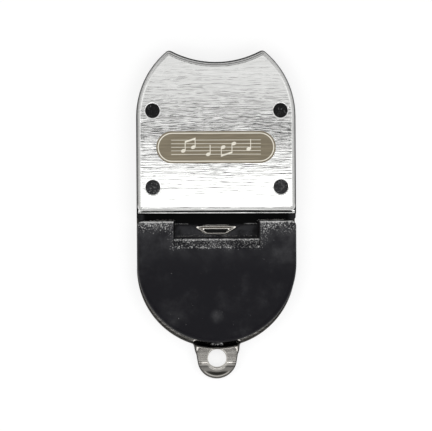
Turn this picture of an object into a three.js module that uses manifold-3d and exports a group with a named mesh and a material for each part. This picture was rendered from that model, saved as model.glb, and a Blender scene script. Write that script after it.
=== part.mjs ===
// Nose flute: a steel back plate with a lanyard tab, a moulded duct block under a drawn steel front
// cover, a moulded mouth cover with the sounding window, and four plastic rivets. Millimetres.
// The flute lies on its back: +Z points out of its front, +Y towards the nose end and +X to the
// right as seen from the front. The origin is the centre of the round mouth end, on the back face.

import * as THREE from 'three';
import { mergeVertices } from 'three/addons/utils/BufferGeometryUtils.js';
import Module from 'manifold-3d';

const wasm = await Module();
wasm.setup();

// Outline seen from the front
const BODY_WIDTH = 45;
const SHOULDER_RADIUS = 23.8;
const SHOULDER_Y = 42.4; // where the straight sides end
const SADDLE_RADIUS = 27.1; // hollow that fits under the nose
const SADDLE_Y = 57.75; // deepest point of that hollow
const HORN_RADIUS = 1.3; // tips on both sides of the hollow
const SHARPEST_CORNER = 0.3; // least radius of a corner that is moved inwards

// Back plate
const PLATE_THICKNESS = 1;
const EDGE_BREAK = 0.2;

// Lanyard tab, joggled forwards along the mouth cover's edge and bent back below the middle of its hole
const TAB_WIDTH = 11;
const TAB_HOLE_DIAMETER = 5.2;
const TAB_HOLE_DROP = 4.6; // below the joggle's start
const TAB_FILLET = 4;
const TAB_RISE = 2.6;
const JOGGLE_ANGLE = THREE.MathUtils.degToRad(80);
const JOGGLE_RADIUS = 0.8; // at mid thickness
const JOGGLE_SETBACK = 0.2; // from the mouth cover's lower edge
const TIP_ANGLE = THREE.MathUtils.degToRad(26);
const TIP_RADIUS = 3; // at mid thickness

// Heights of the layers
const BLOCK_FLOOR = 1.2; // wall between the nose chamber and the back plate
const WINDWAY_FLOOR = 2.8; // above the back plate
const WINDWAY_GAP = 1.2; // thickness of the sheet of air
const COVER_DEPTH = 3.2;
const MOUTH_COVER_HEIGHT = 5.8;

// Front cover
const COVER_THICKNESS = 0.8;
const COVER_ROLL = 1.6; // outer radius of the drawn edge
const COVER_CORNER = 1.6; // lower corners seen from the front
const COVER_FOOT_Y = 15.5; // outer face of the lower wall
const COVER_REVEAL = 0.25; // black edge left in view round the steel
const LIP_REACH = 0.66;
const LIP_SETBACK = 0.4; // from the sides of the body

// Sounding window and labium
const LIP_TO_CHEEK = 1.94; // groove between the lip and the mouth cover
const SILL_REACH = 0.86; // windway floor below the top of the mouth cover
const WINDOW_WIDTH = 23.8;
const CUT_UP = 4; // from the windway floor's end to the labium
const LABIUM_LIFT = 0.6; // labium above the windway floor
const LABIUM_EDGE = 0.4; // height of the blunt edge
const LABIUM_UNDERCUT = 1.2;
const RAMP_RUN = 2.68;
const RAMP_FLARE = 0.8;

// Mouth cover
const RIM_REVEAL = 1.3; // steel rim shown below the moulding
const MOUTH_COVER_ROLL = 1.5;
const MOUTH_WALL = 1.8;
const MOUTH_FRONT_WALL = 2;
const RIB_SPACING = 16;
const RIB_THICKNESS = 1.2;
const TONGUE_WIDTH = 6.4;
const TONGUE_REACH = 3;
const TONGUE_THICKNESS = 1.2;
const NIB_WIDTH = 3.4;
const NIB_REACH = 1.4;
const NIB_THICKNESS = 0.9;
const NIB_Z = 1.9; // underside of the nib

// Hole that opens into the mouth, with its raised collar
const MOUTH_HOLE_TOP_WIDTH = 9.8;
const MOUTH_HOLE_BOTTOM_WIDTH = 5;
const MOUTH_HOLE_HEIGHT = 1.3;
const MOUTH_HOLE_CORNER = 0.35;
const MOUTH_HOLE_FLARE = 0.5; // at the back
const COLLAR_WIDTH = 0.4;
const COLLAR_HEIGHT = 1;
const COLLAR_SETBACK = 0.62; // below the end of the windway floor

// Floor of the window, with a funnel down to the collar
const WINDOW_FLOOR = 1.6; // above the back plate
const WINDOW_FLOOR_REACH = 3.5; // below the end of the windway floor
const FUNNEL_TOP_WIDTH = 15.8;
const FUNNEL_BOTTOM_WIDTH = 6;
const FUNNEL_HEIGHT = 3.05;

// Nostril opening, a slot bent round the hollow for the nose
const NOSTRIL_SETBACK = 6;
const NOSTRIL_HEIGHT = 14;
const NOSTRIL_SIDE_SETBACK = 9; // from the sides of the body
const NOSTRIL_RIM = 1.2; // moulded lining inside the steel
const NOSTRIL_ROUND = 0.5;

// Duct block
const BLOCK_CORNER = 0.8;
const CHAMBER_WALL = 1.6;
const CHAMBER_RAMP = 4; // length of the slope up to the windway
const BOSS_RADIUS = 3;

// Rivets
const RIVET_SIDE_SETBACK = 4.5;
const RIVET_FOOT_SETBACK = 6.9; // lower row above the cover's lower wall
const RIVET_ROW_SPACING = 21.5;
const RIVET_HEAD_DIAMETER = 4;
const RIVET_SHANK_DIAMETER = 3;
const RIVET_HEAD_LAND = 0.15; // straight edge of the head
const RIVET_TAIL_FLARE = 0.6;
const COUNTERSINK_RING = 0.4; // steel ring left in view round a head

// Clearances
const FIT_GAP = 0.3;
const SLIDE_GAP = 0.15;
const BACK_RECESS = 0.1; // mouldings behind the back face
const CUT_MARGIN = 1; // how far a cut runs past what it cuts

// Facets
const SHOULDER_STEPS = 12;
const HORN_STEPS = 5;
const SADDLE_STEPS = 8;
const ROUND_STEPS = 48;
const CORNER_STEPS = 4;
const ROLL_STEPS = 5;
const RIVET_STEPS = 24;
const BEND_STEPS = 6;
const TAB_STEPS = 24;

// Levels and lines that several pieces share
const SIDE = BODY_WIDTH / 2;
const SILL_Z = PLATE_THICKNESS + WINDWAY_FLOOR;
const LEDGE_Z = SILL_Z + WINDWAY_GAP;
const COVER_Z = LEDGE_Z + COVER_DEPTH;
const COVER_INNER_Z = COVER_Z - COVER_THICKNESS;
const CHAMBER_FLOOR_Z = PLATE_THICKNESS + BLOCK_FLOOR;
const MOUTH_COVER_Z = PLATE_THICKNESS + MOUTH_COVER_HEIGHT;
const LABIUM_Z = SILL_Z + LABIUM_LIFT;
const WINDOW_FLOOR_Z = PLATE_THICKNESS + WINDOW_FLOOR;
const LIP_Y = COVER_FOOT_Y - LIP_REACH;
const CHEEK_Y = LIP_Y - LIP_TO_CHEEK;
const SILL_Y = CHEEK_Y - SILL_REACH;
const LABIUM_Y = SILL_Y - CUT_UP;
const MOUTH_HOLE_Y = SILL_Y - COLLAR_SETBACK - COLLAR_WIDTH;
const MOUTH_ARC_Y = RIM_REVEAL;
const JOGGLE_ARC = SIDE + JOGGLE_SETBACK; // about the centre of the mouth cover's arc
const JOGGLE_Y = MOUTH_ARC_Y - JOGGLE_ARC;
const TAB_Z = TAB_RISE + PLATE_THICKNESS;
const TAB_HOLE_Y = JOGGLE_Y - TAB_HOLE_DROP;
const TONGUE_X = (WINDOW_WIDTH / 2 + SIDE) / 2;
const TONGUE_Y = CHEEK_Y + TONGUE_REACH;
const BLOCK_WALL_INSET = COVER_THICKNESS + SLIDE_GAP;
const CHAMBER_INSET = BLOCK_WALL_INSET + CHAMBER_WALL;
const SADDLE_CENTRE = new THREE.Vector2(0, SADDLE_Y + SADDLE_RADIUS);
const NOSTRIL_SPAN = BODY_WIDTH - 2 * NOSTRIL_SIDE_SETBACK - NOSTRIL_HEIGHT; // between its end centres
const RIVET_X = SIDE - RIVET_SIDE_SETBACK;
const RIVET_LOWER_Y = COVER_FOOT_Y + RIVET_FOOT_SETBACK;
const RIVET_UPPER_Y = RIVET_LOWER_Y + RIVET_ROW_SPACING;
const RIVETS = {
  rivet_upper_left: new THREE.Vector2(-RIVET_X, RIVET_UPPER_Y),
  rivet_upper_right: new THREE.Vector2(RIVET_X, RIVET_UPPER_Y),
  rivet_lower_left: new THREE.Vector2(-RIVET_X, RIVET_LOWER_Y),
  rivet_lower_right: new THREE.Vector2(RIVET_X, RIVET_LOWER_Y),
};

// Solids

function solidOf(geometry) {
  const bare = geometry.clone();
  bare.deleteAttribute('normal');
  bare.deleteAttribute('uv');
  const welded = mergeVertices(bare, 1e-4);
  const vertProperties = new Float32Array(welded.attributes.position.array);
  const triVerts = new Uint32Array(welded.index.array);
  return new wasm.Manifold(new wasm.Mesh({ numProp: 3, vertProperties, triVerts }));
}

function geometryOf(solid) {
  const { vertProperties, triVerts } = solid.getMesh();
  const geometry = new THREE.BufferGeometry();
  geometry.setAttribute('position', new THREE.BufferAttribute(vertProperties, 3));
  geometry.setIndex(new THREE.BufferAttribute(triVerts, 1));
  geometry.computeVertexNormals();
  return geometry;
}

const joined = (first, ...others) => others.reduce((whole, other) => whole.add(other), first);
const cut = (first, ...others) => others.reduce((whole, other) => whole.subtract(other), first);

function box(x0, x1, y0, y1, z0, z1) {
  const geometry = new THREE.BoxGeometry(x1 - x0, y1 - y0, z1 - z0);
  return solidOf(geometry.translate((x0 + x1) / 2, (y0 + y1) / 2, (z0 + z1) / 2));
}

// An upright round post or cone, radius0 at z0 and radius1 at z1.
function post(centre, radius0, radius1, z0, z1) {
  const geometry = new THREE.CylinderGeometry(radius1, radius0, z1 - z0, RIVET_STEPS);
  geometry.rotateX(Math.PI / 2);
  return solidOf(geometry.translate(centre.x, centre.y, (z0 + z1) / 2));
}

function fan(ring) {
  return ring.slice(2).map((_, i) => [0, i + 1, i + 2]);
}

function flatCap(ring) {
  return THREE.ShapeUtils.triangulateShape(ring.map((p) => new THREE.Vector2(p.x, p.y)), []);
}

// A closed solid through a row of rings with equal numbers of points, capped at both ends.
function skin(rings, cap) {
  const count = rings[0].length;
  const last = (rings.length - 1) * count;
  const index = [];
  for (let ring = 0; ring < last; ring += count) {
    for (let i = 0; i < count; i += 1) {
      const a = ring + i;
      const b = ring + ((i + 1) % count);
      index.push(a, b, b + count, a, b + count, a + count);
    }
  }
  cap(rings[0]).forEach(([a, b, c]) => index.push(c, b, a));
  cap(rings.at(-1)).forEach(([a, b, c]) => index.push(last + a, last + b, last + c));
  const position = rings.flat().flatMap((p) => [p.x, p.y, p.z]);
  const geometry = new THREE.BufferGeometry();
  geometry.setAttribute('position', new THREE.Float32BufferAttribute(position, 3));
  geometry.setIndex(index);
  return solidOf(geometry);
}

// A solid from an outline at each level; a level is how far the outline moves inwards, and its z.
function stack(outline, levels) {
  const rings = levels.map(([inset, z]) => outline(inset).map((p) => new THREE.Vector3(p.x, p.y, z)));
  return skin(rings, flatCap);
}

// Levels of a rounded edge that ends in a face at z.
function rolledEdge(inset, radius, z) {
  return Array.from({ length: ROLL_STEPS + 1 }, (_, i) => {
    const angle = (i / ROLL_STEPS) * (Math.PI / 2);
    return [inset + radius * (1 - Math.cos(angle)), z - radius * (1 - Math.sin(angle))];
  });
}

// A profile of y and z points carried across the flute from -width / 2 to width / 2.
function acrossX(profile, width) {
  const geometry = new THREE.ExtrudeGeometry(new THREE.Shape(profile), { depth: width, bevelEnabled: false });
  geometry.translate(0, 0, -width / 2);
  const turn = new THREE.Matrix4().makeBasis(
    new THREE.Vector3(0, 1, 0),
    new THREE.Vector3(0, 0, 1),
    new THREE.Vector3(1, 0, 0),
  );
  return solidOf(geometry.applyMatrix4(turn));
}

// Outlines, all counter-clockwise

const mirrored = (points) => points.map((p) => new THREE.Vector2(-p.x, p.y)).reverse();
const angleTo = (from, to) => Math.atan2(to.y - from.y, to.x - from.x);

// Points on an arc, without its last point.
function arc(centre, radius, from, to, steps) {
  return Array.from({ length: steps }, (_, i) => {
    const angle = from + ((to - from) * i) / steps;
    return new THREE.Vector2(centre.x + radius * Math.cos(angle), centre.y + radius * Math.sin(angle));
  });
}

// Where two circles cross, on the side of larger x when the second lies above the first.
function crossing(first, firstRadius, second, secondRadius) {
  const apart = first.distanceTo(second);
  const along = (firstRadius ** 2 - secondRadius ** 2 + apart ** 2) / (2 * apart);
  const across = Math.sqrt(firstRadius ** 2 - along ** 2);
  const towards = second.clone().sub(first).normalize();
  const sideways = new THREE.Vector2(towards.y, -towards.x);
  return first.clone().addScaledVector(towards, along).addScaledVector(sideways, across);
}

// The wide end from side to side: shoulder, horn, hollow for the nose, horn and shoulder.
function noseEnd(inset) {
  const shoulder = SHOULDER_RADIUS - inset;
  const saddle = SADDLE_RADIUS + inset;
  const horn = Math.max(HORN_RADIUS - inset, SHARPEST_CORNER);
  const shoulderCentre = new THREE.Vector2(SIDE - SHOULDER_RADIUS, SHOULDER_Y);
  const hornCentre = crossing(shoulderCentre, shoulder - horn, SADDLE_CENTRE, saddle + horn);
  const leave = angleTo(shoulderCentre, hornCentre);
  const meet = angleTo(hornCentre, SADDLE_CENTRE);
  const right = [
    ...arc(shoulderCentre, shoulder, 0, leave, SHOULDER_STEPS),
    ...arc(hornCentre, horn, leave, meet, HORN_STEPS),
    ...arc(SADDLE_CENTRE, saddle, meet - Math.PI, -Math.PI / 2, SADDLE_STEPS),
  ];
  return [...right, new THREE.Vector2(0, SADDLE_CENTRE.y - saddle), ...mirrored(right)];
}

// The round lower end, from the left side to the right.
function roundFoot(inset, centreY) {
  const centre = new THREE.Vector2(0, centreY);
  const right = new THREE.Vector2(SIDE - inset, centreY);
  return [...arc(centre, SIDE - inset, Math.PI, 2 * Math.PI, ROUND_STEPS), right];
}

// A straight lower edge at y, from the left side to the right, with rounded corners.
function squareFoot(inset, y, corner) {
  const radius = Math.max(corner - inset, SHARPEST_CORNER);
  const centre = new THREE.Vector2(SIDE - inset - radius, y + inset + radius);
  const end = new THREE.Vector2(SIDE - inset, centre.y);
  const right = [...arc(centre, radius, 1.5 * Math.PI, 2 * Math.PI, CORNER_STEPS), end];
  return [...mirrored(right), ...right];
}

// A straight upper edge at y, from the right side to the left, with rounded corners.
function squareHead(inset, y, corner) {
  const radius = Math.max(corner - inset, SHARPEST_CORNER);
  const centre = new THREE.Vector2(SIDE - inset - radius, y - inset - radius);
  const end = new THREE.Vector2(centre.x, y - inset);
  const right = [...arc(centre, radius, 0, Math.PI / 2, CORNER_STEPS), end];
  return [...right, ...mirrored(right)];
}

const plateOutline = (inset) => [...noseEnd(inset), ...roundFoot(inset, 0)];
const blockOutline = (inset) => [...noseEnd(inset), ...squareFoot(inset, CHEEK_Y + FIT_GAP, BLOCK_CORNER)];

function coverOutline(inset) {
  const corner = COVER_CORNER + COVER_REVEAL;
  const foot = squareFoot(inset + COVER_REVEAL, COVER_FOOT_Y - COVER_REVEAL, corner);
  return [...noseEnd(inset + COVER_REVEAL), ...foot];
}

function mouthCoverOutline(inset) {
  return [...squareHead(inset, CHEEK_Y, MOUTH_COVER_ROLL), ...roundFoot(inset, MOUTH_ARC_Y)];
}

function nostrilOutline(inset) {
  const half = NOSTRIL_HEIGHT / 2 - inset;
  const radius = SADDLE_RADIUS + NOSTRIL_SETBACK + NOSTRIL_HEIGHT / 2;
  const reach = Math.asin(NOSTRIL_SPAN / 2 / radius);
  const left = -Math.PI / 2 - reach;
  const right = -Math.PI / 2 + reach;
  const endCentre = (angle) => arc(SADDLE_CENTRE, radius, angle, angle, 1)[0];
  return [
    ...arc(SADDLE_CENTRE, radius + half, left, right, SADDLE_STEPS),
    ...arc(endCentre(right), half, right, right + Math.PI, SHOULDER_STEPS),
    ...arc(SADDLE_CENTRE, radius - half, right, left, SADDLE_STEPS),
    ...arc(endCentre(left), half, left + Math.PI, left + 2 * Math.PI, SHOULDER_STEPS),
  ];
}

// A trapezium with its wide side at topY, towards the windway, and rounded corners.
function trapezium(topWidth, bottomWidth, topY, height, inset) {
  const corners = [
    new THREE.Vector2(-bottomWidth / 2, topY - height),
    new THREE.Vector2(bottomWidth / 2, topY - height),
    new THREE.Vector2(topWidth / 2, topY),
    new THREE.Vector2(-topWidth / 2, topY),
  ];
  const radius = MOUTH_HOLE_CORNER - inset;
  return corners.flatMap((corner, i) => {
    const arriving = angleTo(corners.at(i - 1), corner) - Math.PI / 2;
    const leaving = angleTo(corner, corners[(i + 1) % corners.length]) - Math.PI / 2;
    const turn = THREE.MathUtils.euclideanModulo(leaving - arriving, 2 * Math.PI);
    const bisector = arriving + turn / 2;
    const setIn = MOUTH_HOLE_CORNER / Math.cos(turn / 2);
    const centre = new THREE.Vector2(
      corner.x - setIn * Math.cos(bisector),
      corner.y - setIn * Math.sin(bisector),
    );
    return [
      ...arc(centre, radius, arriving, arriving + turn, CORNER_STEPS),
      ...arc(centre, radius, arriving + turn, arriving + turn, 1),
    ];
  });
}

function mouthHoleOutline(inset) {
  const height = MOUTH_HOLE_HEIGHT;
  return trapezium(MOUTH_HOLE_TOP_WIDTH, MOUTH_HOLE_BOTTOM_WIDTH, MOUTH_HOLE_Y, height, inset);
}

function funnelOutline(inset) {
  return trapezium(FUNNEL_TOP_WIDTH, FUNNEL_BOTTOM_WIDTH, SILL_Y, FUNNEL_HEIGHT, inset);
}

function rectangle(x0, x1, y0, y1, z) {
  return [[x0, y0], [x1, y0], [x1, y1], [x0, y1]].map(([x, y]) => new THREE.Vector3(x, y, z));
}

// Lanyard tab

// Profile of the tab's root from one radius to another: along the back plate, up the joggle and out.
function jogglePath(from, to) {
  const climb = 2 * JOGGLE_RADIUS * (1 - Math.cos(JOGGLE_ANGLE));
  const slope = (TAB_RISE - climb) / Math.sin(JOGGLE_ANGLE);
  const low = new THREE.Vector2(JOGGLE_ARC, PLATE_THICKNESS / 2 + JOGGLE_RADIUS);
  const run = 2 * JOGGLE_RADIUS * Math.sin(JOGGLE_ANGLE) + slope * Math.cos(JOGGLE_ANGLE);
  const high = new THREE.Vector2(JOGGLE_ARC + run, PLATE_THICKNESS / 2 + TAB_RISE - JOGGLE_RADIUS);
  const half = PLATE_THICKNESS / 2;
  const side = (offset) => [
    new THREE.Vector2(from, half - offset),
    ...arc(low, JOGGLE_RADIUS + offset, 1.5 * Math.PI, 1.5 * Math.PI + JOGGLE_ANGLE, BEND_STEPS),
    ...arc(low, JOGGLE_RADIUS + offset, 1.5 * Math.PI + JOGGLE_ANGLE, 0, 1),
    ...arc(high, JOGGLE_RADIUS - offset, Math.PI / 2 + JOGGLE_ANGLE, Math.PI / 2, BEND_STEPS),
    ...arc(high, JOGGLE_RADIUS - offset, Math.PI / 2, 0, 1),
    new THREE.Vector2(to, half + TAB_RISE - offset),
  ];
  return [...side(half), ...side(-half).reverse()];
}

// A closed profile of radii and heights turned about the upright axis of the mouth cover's arc.
function aboutMouthArc(profile) {
  const geometry = new THREE.LatheGeometry([...profile, profile[0]], 2 * ROUND_STEPS);
  return solidOf(geometry.rotateX(Math.PI / 2).translate(0, MOUTH_ARC_Y, 0));
}

// Outline of the tab's root, flowing into the round end of the plate.
function tabRootOutline(rootY) {
  const centre = new THREE.Vector2(TAB_WIDTH / 2 + TAB_FILLET, 0);
  centre.y = -Math.sqrt((SIDE + TAB_FILLET) ** 2 - centre.x ** 2);
  const touch = angleTo(centre, new THREE.Vector2(0, 0));
  const end = centre.clone().multiplyScalar(SIDE / (SIDE + TAB_FILLET));
  const right = [
    new THREE.Vector2(TAB_WIDTH / 2, TAB_HOLE_Y),
    ...arc(centre, TAB_FILLET, Math.PI, touch, BEND_STEPS),
    end,
    new THREE.Vector2(end.x, rootY),
  ];
  return [...right, ...mirrored(right)];
}

// A point of the bent end: in the flat sheet at x and y, and offset from mid thickness.
function bentPoint(x, y, offset) {
  const past = Math.max(TAB_HOLE_Y - y, 0);
  const bend = TIP_RADIUS * Math.sin(TIP_ANGLE);
  const angle = past < bend ? Math.asin(past / TIP_RADIUS) : TIP_ANGLE;
  const drop = TIP_RADIUS * (1 - Math.cos(angle)) + Math.max(past - bend, 0) * Math.tan(TIP_ANGLE);
  const middle = TAB_Z - PLATE_THICKNESS / 2 - drop;
  return new THREE.Vector3(x, y - offset * Math.sin(angle), middle + offset * Math.cos(angle));
}

// The half ring below the middle of the hole, its section carried round and bent back.
function tabEnd() {
  const overlap = 0.04;
  const half = PLATE_THICKNESS / 2;
  const section = [
    [TAB_HOLE_DIAMETER / 2, -half],
    [TAB_HOLE_DIAMETER / 2, half],
    [TAB_WIDTH / 2, half],
    [TAB_WIDTH / 2, -half],
  ];
  const rings = Array.from({ length: TAB_STEPS + 1 }, (_, i) => {
    const angle = Math.PI - overlap + ((Math.PI + 2 * overlap) * i) / TAB_STEPS;
    return section.map(([radius, offset]) => {
      return bentPoint(radius * Math.cos(angle), TAB_HOLE_Y + radius * Math.sin(angle), offset);
    });
  });
  return skin(rings, fan);
}

// An upright prism of the tab's root, which also parts the root from the plate.
function tabRoot() {
  const outline = tabRootOutline(JOGGLE_Y + TAB_FILLET);
  return stack(() => outline, [[0, -CUT_MARGIN], [0, TAB_Z + CUT_MARGIN]]);
}

function lanyardTab() {
  const strip = aboutMouthArc(jogglePath(JOGGLE_ARC - TAB_FILLET, SIDE - TAB_HOLE_Y));
  const radius = TAB_HOLE_DIAMETER / 2;
  const centre = new THREE.Vector2(0, TAB_HOLE_Y);
  const hole = post(centre, radius, radius, -CUT_MARGIN, TAB_Z + CUT_MARGIN);
  const slotX = NIB_WIDTH / 2 + FIT_GAP;
  const slotZ = NIB_Z + NIB_THICKNESS + FIT_GAP;
  const slot = box(-slotX, slotX, TAB_HOLE_Y, JOGGLE_Y, NIB_Z - FIT_GAP, slotZ);
  return cut(strip.intersect(tabRoot()), hole, slot).add(tabEnd());
}

// Pieces

function backPlate() {
  const sheet = stack(plateOutline, [
    [EDGE_BREAK, 0],
    [0, EDGE_BREAK],
    [0, PLATE_THICKNESS - EDGE_BREAK],
    [EDGE_BREAK, PLATE_THICKNESS],
  ]);
  const outside = aboutMouthArc([
    new THREE.Vector2(JOGGLE_ARC, -CUT_MARGIN),
    new THREE.Vector2(BODY_WIDTH, -CUT_MARGIN),
    new THREE.Vector2(BODY_WIDTH, TAB_Z),
    new THREE.Vector2(JOGGLE_ARC, TAB_Z),
  ]);
  const foot = outside.intersect(tabRoot());
  const collarZ = PLATE_THICKNESS + COLLAR_HEIGHT;
  const collar = stack(mouthHoleOutline, [
    [-COLLAR_WIDTH, PLATE_THICKNESS / 2],
    [-COLLAR_WIDTH, collarZ],
  ]);
  const mouthHole = stack(mouthHoleOutline, [
    [-MOUTH_HOLE_FLARE, -CUT_MARGIN],
    [-MOUTH_HOLE_FLARE, 0],
    [0, MOUTH_HOLE_FLARE],
    [0, collarZ + CUT_MARGIN],
  ]);
  const nostrilInset = -NOSTRIL_RIM - FIT_GAP;
  const nostril = stack(nostrilOutline, [
    [nostrilInset, -CUT_MARGIN],
    [nostrilInset, PLATE_THICKNESS + CUT_MARGIN],
  ]);
  const bore = RIVET_SHANK_DIAMETER / 2 + SLIDE_GAP;
  const sink = bore + RIVET_TAIL_FLARE;
  const rivetHoles = Object.values(RIVETS).flatMap((centre) => [
    post(centre, bore, bore, -CUT_MARGIN, PLATE_THICKNESS + CUT_MARGIN),
    post(centre, sink + CUT_MARGIN, bore, -CUT_MARGIN, RIVET_TAIL_FLARE),
  ]);
  const plate = joined(cut(sheet, foot), lanyardTab(), collar);
  return cut(plate, mouthHole, nostril, ...rivetHoles);
}

function frontCover() {
  const inner = COVER_THICKNESS;
  const shell = stack(coverOutline, [[0, LEDGE_Z], ...rolledEdge(0, COVER_ROLL, COVER_Z)]);
  const hollow = stack(coverOutline, [
    [inner, LEDGE_Z - CUT_MARGIN],
    ...rolledEdge(inner, COVER_ROLL - inner, COVER_INNER_Z),
  ]);
  const lipX = SIDE - LIP_SETBACK;
  const lip = box(-lipX, lipX, LIP_Y, COVER_FOOT_Y + inner, LEDGE_Z, LEDGE_Z + COVER_THICKNESS);
  const sink = RIVET_HEAD_DIAMETER / 2 + COUNTERSINK_RING;
  const sinkBottom = Math.max(sink - COVER_THICKNESS, RIVET_SHANK_DIAMETER / 2 + SLIDE_GAP);
  const holes = Object.values(RIVETS).flatMap((centre) => [
    post(centre, sinkBottom, sinkBottom, LEDGE_Z, COVER_Z),
    post(centre, sinkBottom, sink, COVER_INNER_Z, COVER_Z),
    post(centre, sink, sink, COVER_Z, COVER_Z + CUT_MARGIN),
  ]);
  return cut(shell, hollow).add(lip).subtract(joined(...holes));
}

function ductBlock() {
  const base = stack(blockOutline, [[0, PLATE_THICKNESS], [0, LEDGE_Z]]);
  const chamfer = COVER_ROLL - COVER_THICKNESS;
  const walls = stack(coverOutline, [
    [BLOCK_WALL_INSET, PLATE_THICKNESS],
    [BLOCK_WALL_INSET, COVER_INNER_Z - chamfer],
    [BLOCK_WALL_INSET + chamfer, COVER_INNER_Z],
  ]);
  const chamber = stack(coverOutline, [
    [CHAMBER_INSET, CHAMBER_FLOOR_Z],
    [CHAMBER_INSET, COVER_INNER_Z + CUT_MARGIN],
  ]);
  const windwayX = WINDOW_WIDTH / 2;
  const sillX = windwayX - FIT_GAP;
  const chamberFootY = COVER_FOOT_Y + CHAMBER_INSET;
  const grooveY = CHEEK_Y - CUT_MARGIN;
  const windway = box(-windwayX, windwayX, grooveY, chamberFootY + CUT_MARGIN, SILL_Z, LEDGE_Z);
  const grooveX = SIDE + CUT_MARGIN;
  const groove = box(-grooveX, grooveX, grooveY, LIP_Y, SILL_Z, LEDGE_Z + CUT_MARGIN);
  const sill = box(-sillX, sillX, SILL_Y, LIP_Y, PLATE_THICKNESS, SILL_Z);
  const floorY = SILL_Y - WINDOW_FLOOR_REACH;
  const floor = box(-sillX, sillX, floorY, LIP_Y, PLATE_THICKNESS, WINDOW_FLOOR_Z);
  const atHeight = (outline, z) => outline.map((p) => new THREE.Vector3(p.x, p.y, z));
  const collarSeat = mouthHoleOutline(-COLLAR_WIDTH - FIT_GAP);
  const funnel = skin([
    atHeight(collarSeat, PLATE_THICKNESS - CUT_MARGIN),
    atHeight(collarSeat, PLATE_THICKNESS),
    atHeight(funnelOutline(0), WINDOW_FLOOR_Z),
    atHeight(funnelOutline(0), WINDOW_FLOOR_Z + CUT_MARGIN),
  ], flatCap);
  const ramp = acrossX([
    new THREE.Vector2(chamberFootY, PLATE_THICKNESS),
    new THREE.Vector2(chamberFootY + CHAMBER_RAMP, PLATE_THICKNESS),
    new THREE.Vector2(chamberFootY + CHAMBER_RAMP, CHAMBER_FLOOR_Z),
    new THREE.Vector2(chamberFootY, SILL_Z),
  ], BODY_WIDTH - 2 * CHAMBER_INSET + CHAMBER_WALL);
  const posts = Object.values(RIVETS).map((centre) => {
    return post(centre, BOSS_RADIUS, BOSS_RADIUS, PLATE_THICKNESS, COVER_INNER_Z);
  });
  const bosses = joined(...posts).intersect(walls);
  const bore = RIVET_SHANK_DIAMETER / 2 + SLIDE_GAP;
  const bores = Object.values(RIVETS).map((centre) => {
    return post(centre, bore, bore, PLATE_THICKNESS - CUT_MARGIN, COVER_INNER_Z + CUT_MARGIN);
  });
  const lining = stack(nostrilOutline, [[-NOSTRIL_RIM, BACK_RECESS], [-NOSTRIL_RIM, CHAMBER_FLOOR_Z]]);
  const nostril = stack(nostrilOutline, [
    [-NOSTRIL_ROUND, BACK_RECESS - CUT_MARGIN],
    [-NOSTRIL_ROUND, BACK_RECESS],
    [0, BACK_RECESS + NOSTRIL_ROUND],
    [0, CHAMBER_FLOOR_Z + CUT_MARGIN],
  ]);
  const pocketX = TONGUE_WIDTH / 2 + FIT_GAP;
  const pocketY = TONGUE_Y + FIT_GAP;
  const pocketZ = PLATE_THICKNESS + TONGUE_THICKNESS + FIT_GAP;
  const pockets = [-TONGUE_X, TONGUE_X].map((x) => {
    return box(x - pocketX, x + pocketX, grooveY, pocketY, PLATE_THICKNESS - CUT_MARGIN, pocketZ);
  });
  const windowFloor = cut(floor, funnel);
  const tray = joined(cut(base.add(walls), chamber), ramp, bosses, lining, windowFloor, sill);
  return cut(tray, windway, groove, nostril, ...bores, ...pockets);
}

function mouthCover() {
  const body = stack(mouthCoverOutline, [
    [0, PLATE_THICKNESS],
    ...rolledEdge(0, MOUTH_COVER_ROLL, MOUTH_COVER_Z),
  ]);
  const windowX = WINDOW_WIDTH / 2;
  const headY = CHEEK_Y + CUT_MARGIN;
  const footZ = PLATE_THICKNESS - CUT_MARGIN;
  const window = box(-windowX, windowX, LABIUM_Y, headY, footZ, LABIUM_Z);
  const undercutY = LABIUM_Y - LABIUM_UNDERCUT;
  const undercut = box(-windowX, windowX, undercutY, headY, footZ, LABIUM_Z - LABIUM_EDGE);
  const past = 1 + CUT_MARGIN / (MOUTH_COVER_Z - LABIUM_Z);
  const flareX = windowX + RAMP_FLARE * past;
  const ramp = skin([
    rectangle(-windowX, windowX, LABIUM_Y, headY, LABIUM_Z),
    rectangle(-flareX, flareX, LABIUM_Y - RAMP_RUN * past, headY, MOUTH_COVER_Z + CUT_MARGIN),
  ], flatCap);
  const pocketHeadY = undercutY - MOUTH_WALL;
  const pocketOutline = (inset) => [
    ...squareHead(inset, pocketHeadY + inset, MOUTH_COVER_ROLL),
    ...roundFoot(inset, MOUTH_ARC_Y),
  ];
  const pocketZ = MOUTH_COVER_Z - MOUTH_FRONT_WALL;
  const pocket = stack(pocketOutline, [[MOUTH_WALL, footZ], [MOUTH_WALL, pocketZ]]);
  const ribs = [-RIB_SPACING / 2, RIB_SPACING / 2].map((x) => {
    return box(x - RIB_THICKNESS / 2, x + RIB_THICKNESS / 2, -SIDE, pocketHeadY, PLATE_THICKNESS, pocketZ);
  });
  const tongueX = TONGUE_WIDTH / 2;
  const tongueZ = PLATE_THICKNESS + TONGUE_THICKNESS;
  const tongues = [-TONGUE_X, TONGUE_X].map((x) => {
    return box(x - tongueX, x + tongueX, CHEEK_Y - TONGUE_REACH, TONGUE_Y, PLATE_THICKNESS, tongueZ);
  });
  const nibX = NIB_WIDTH / 2;
  const nibY = MOUTH_ARC_Y - SIDE;
  const nibTopZ = NIB_Z + NIB_THICKNESS;
  const nib = box(-nibX, nibX, nibY - NIB_REACH, nibY + MOUTH_WALL, NIB_Z, nibTopZ);
  const hollow = cut(pocket, ...ribs);
  return joined(cut(body, window, undercut, ramp, hollow), ...tongues, nib);
}

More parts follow.
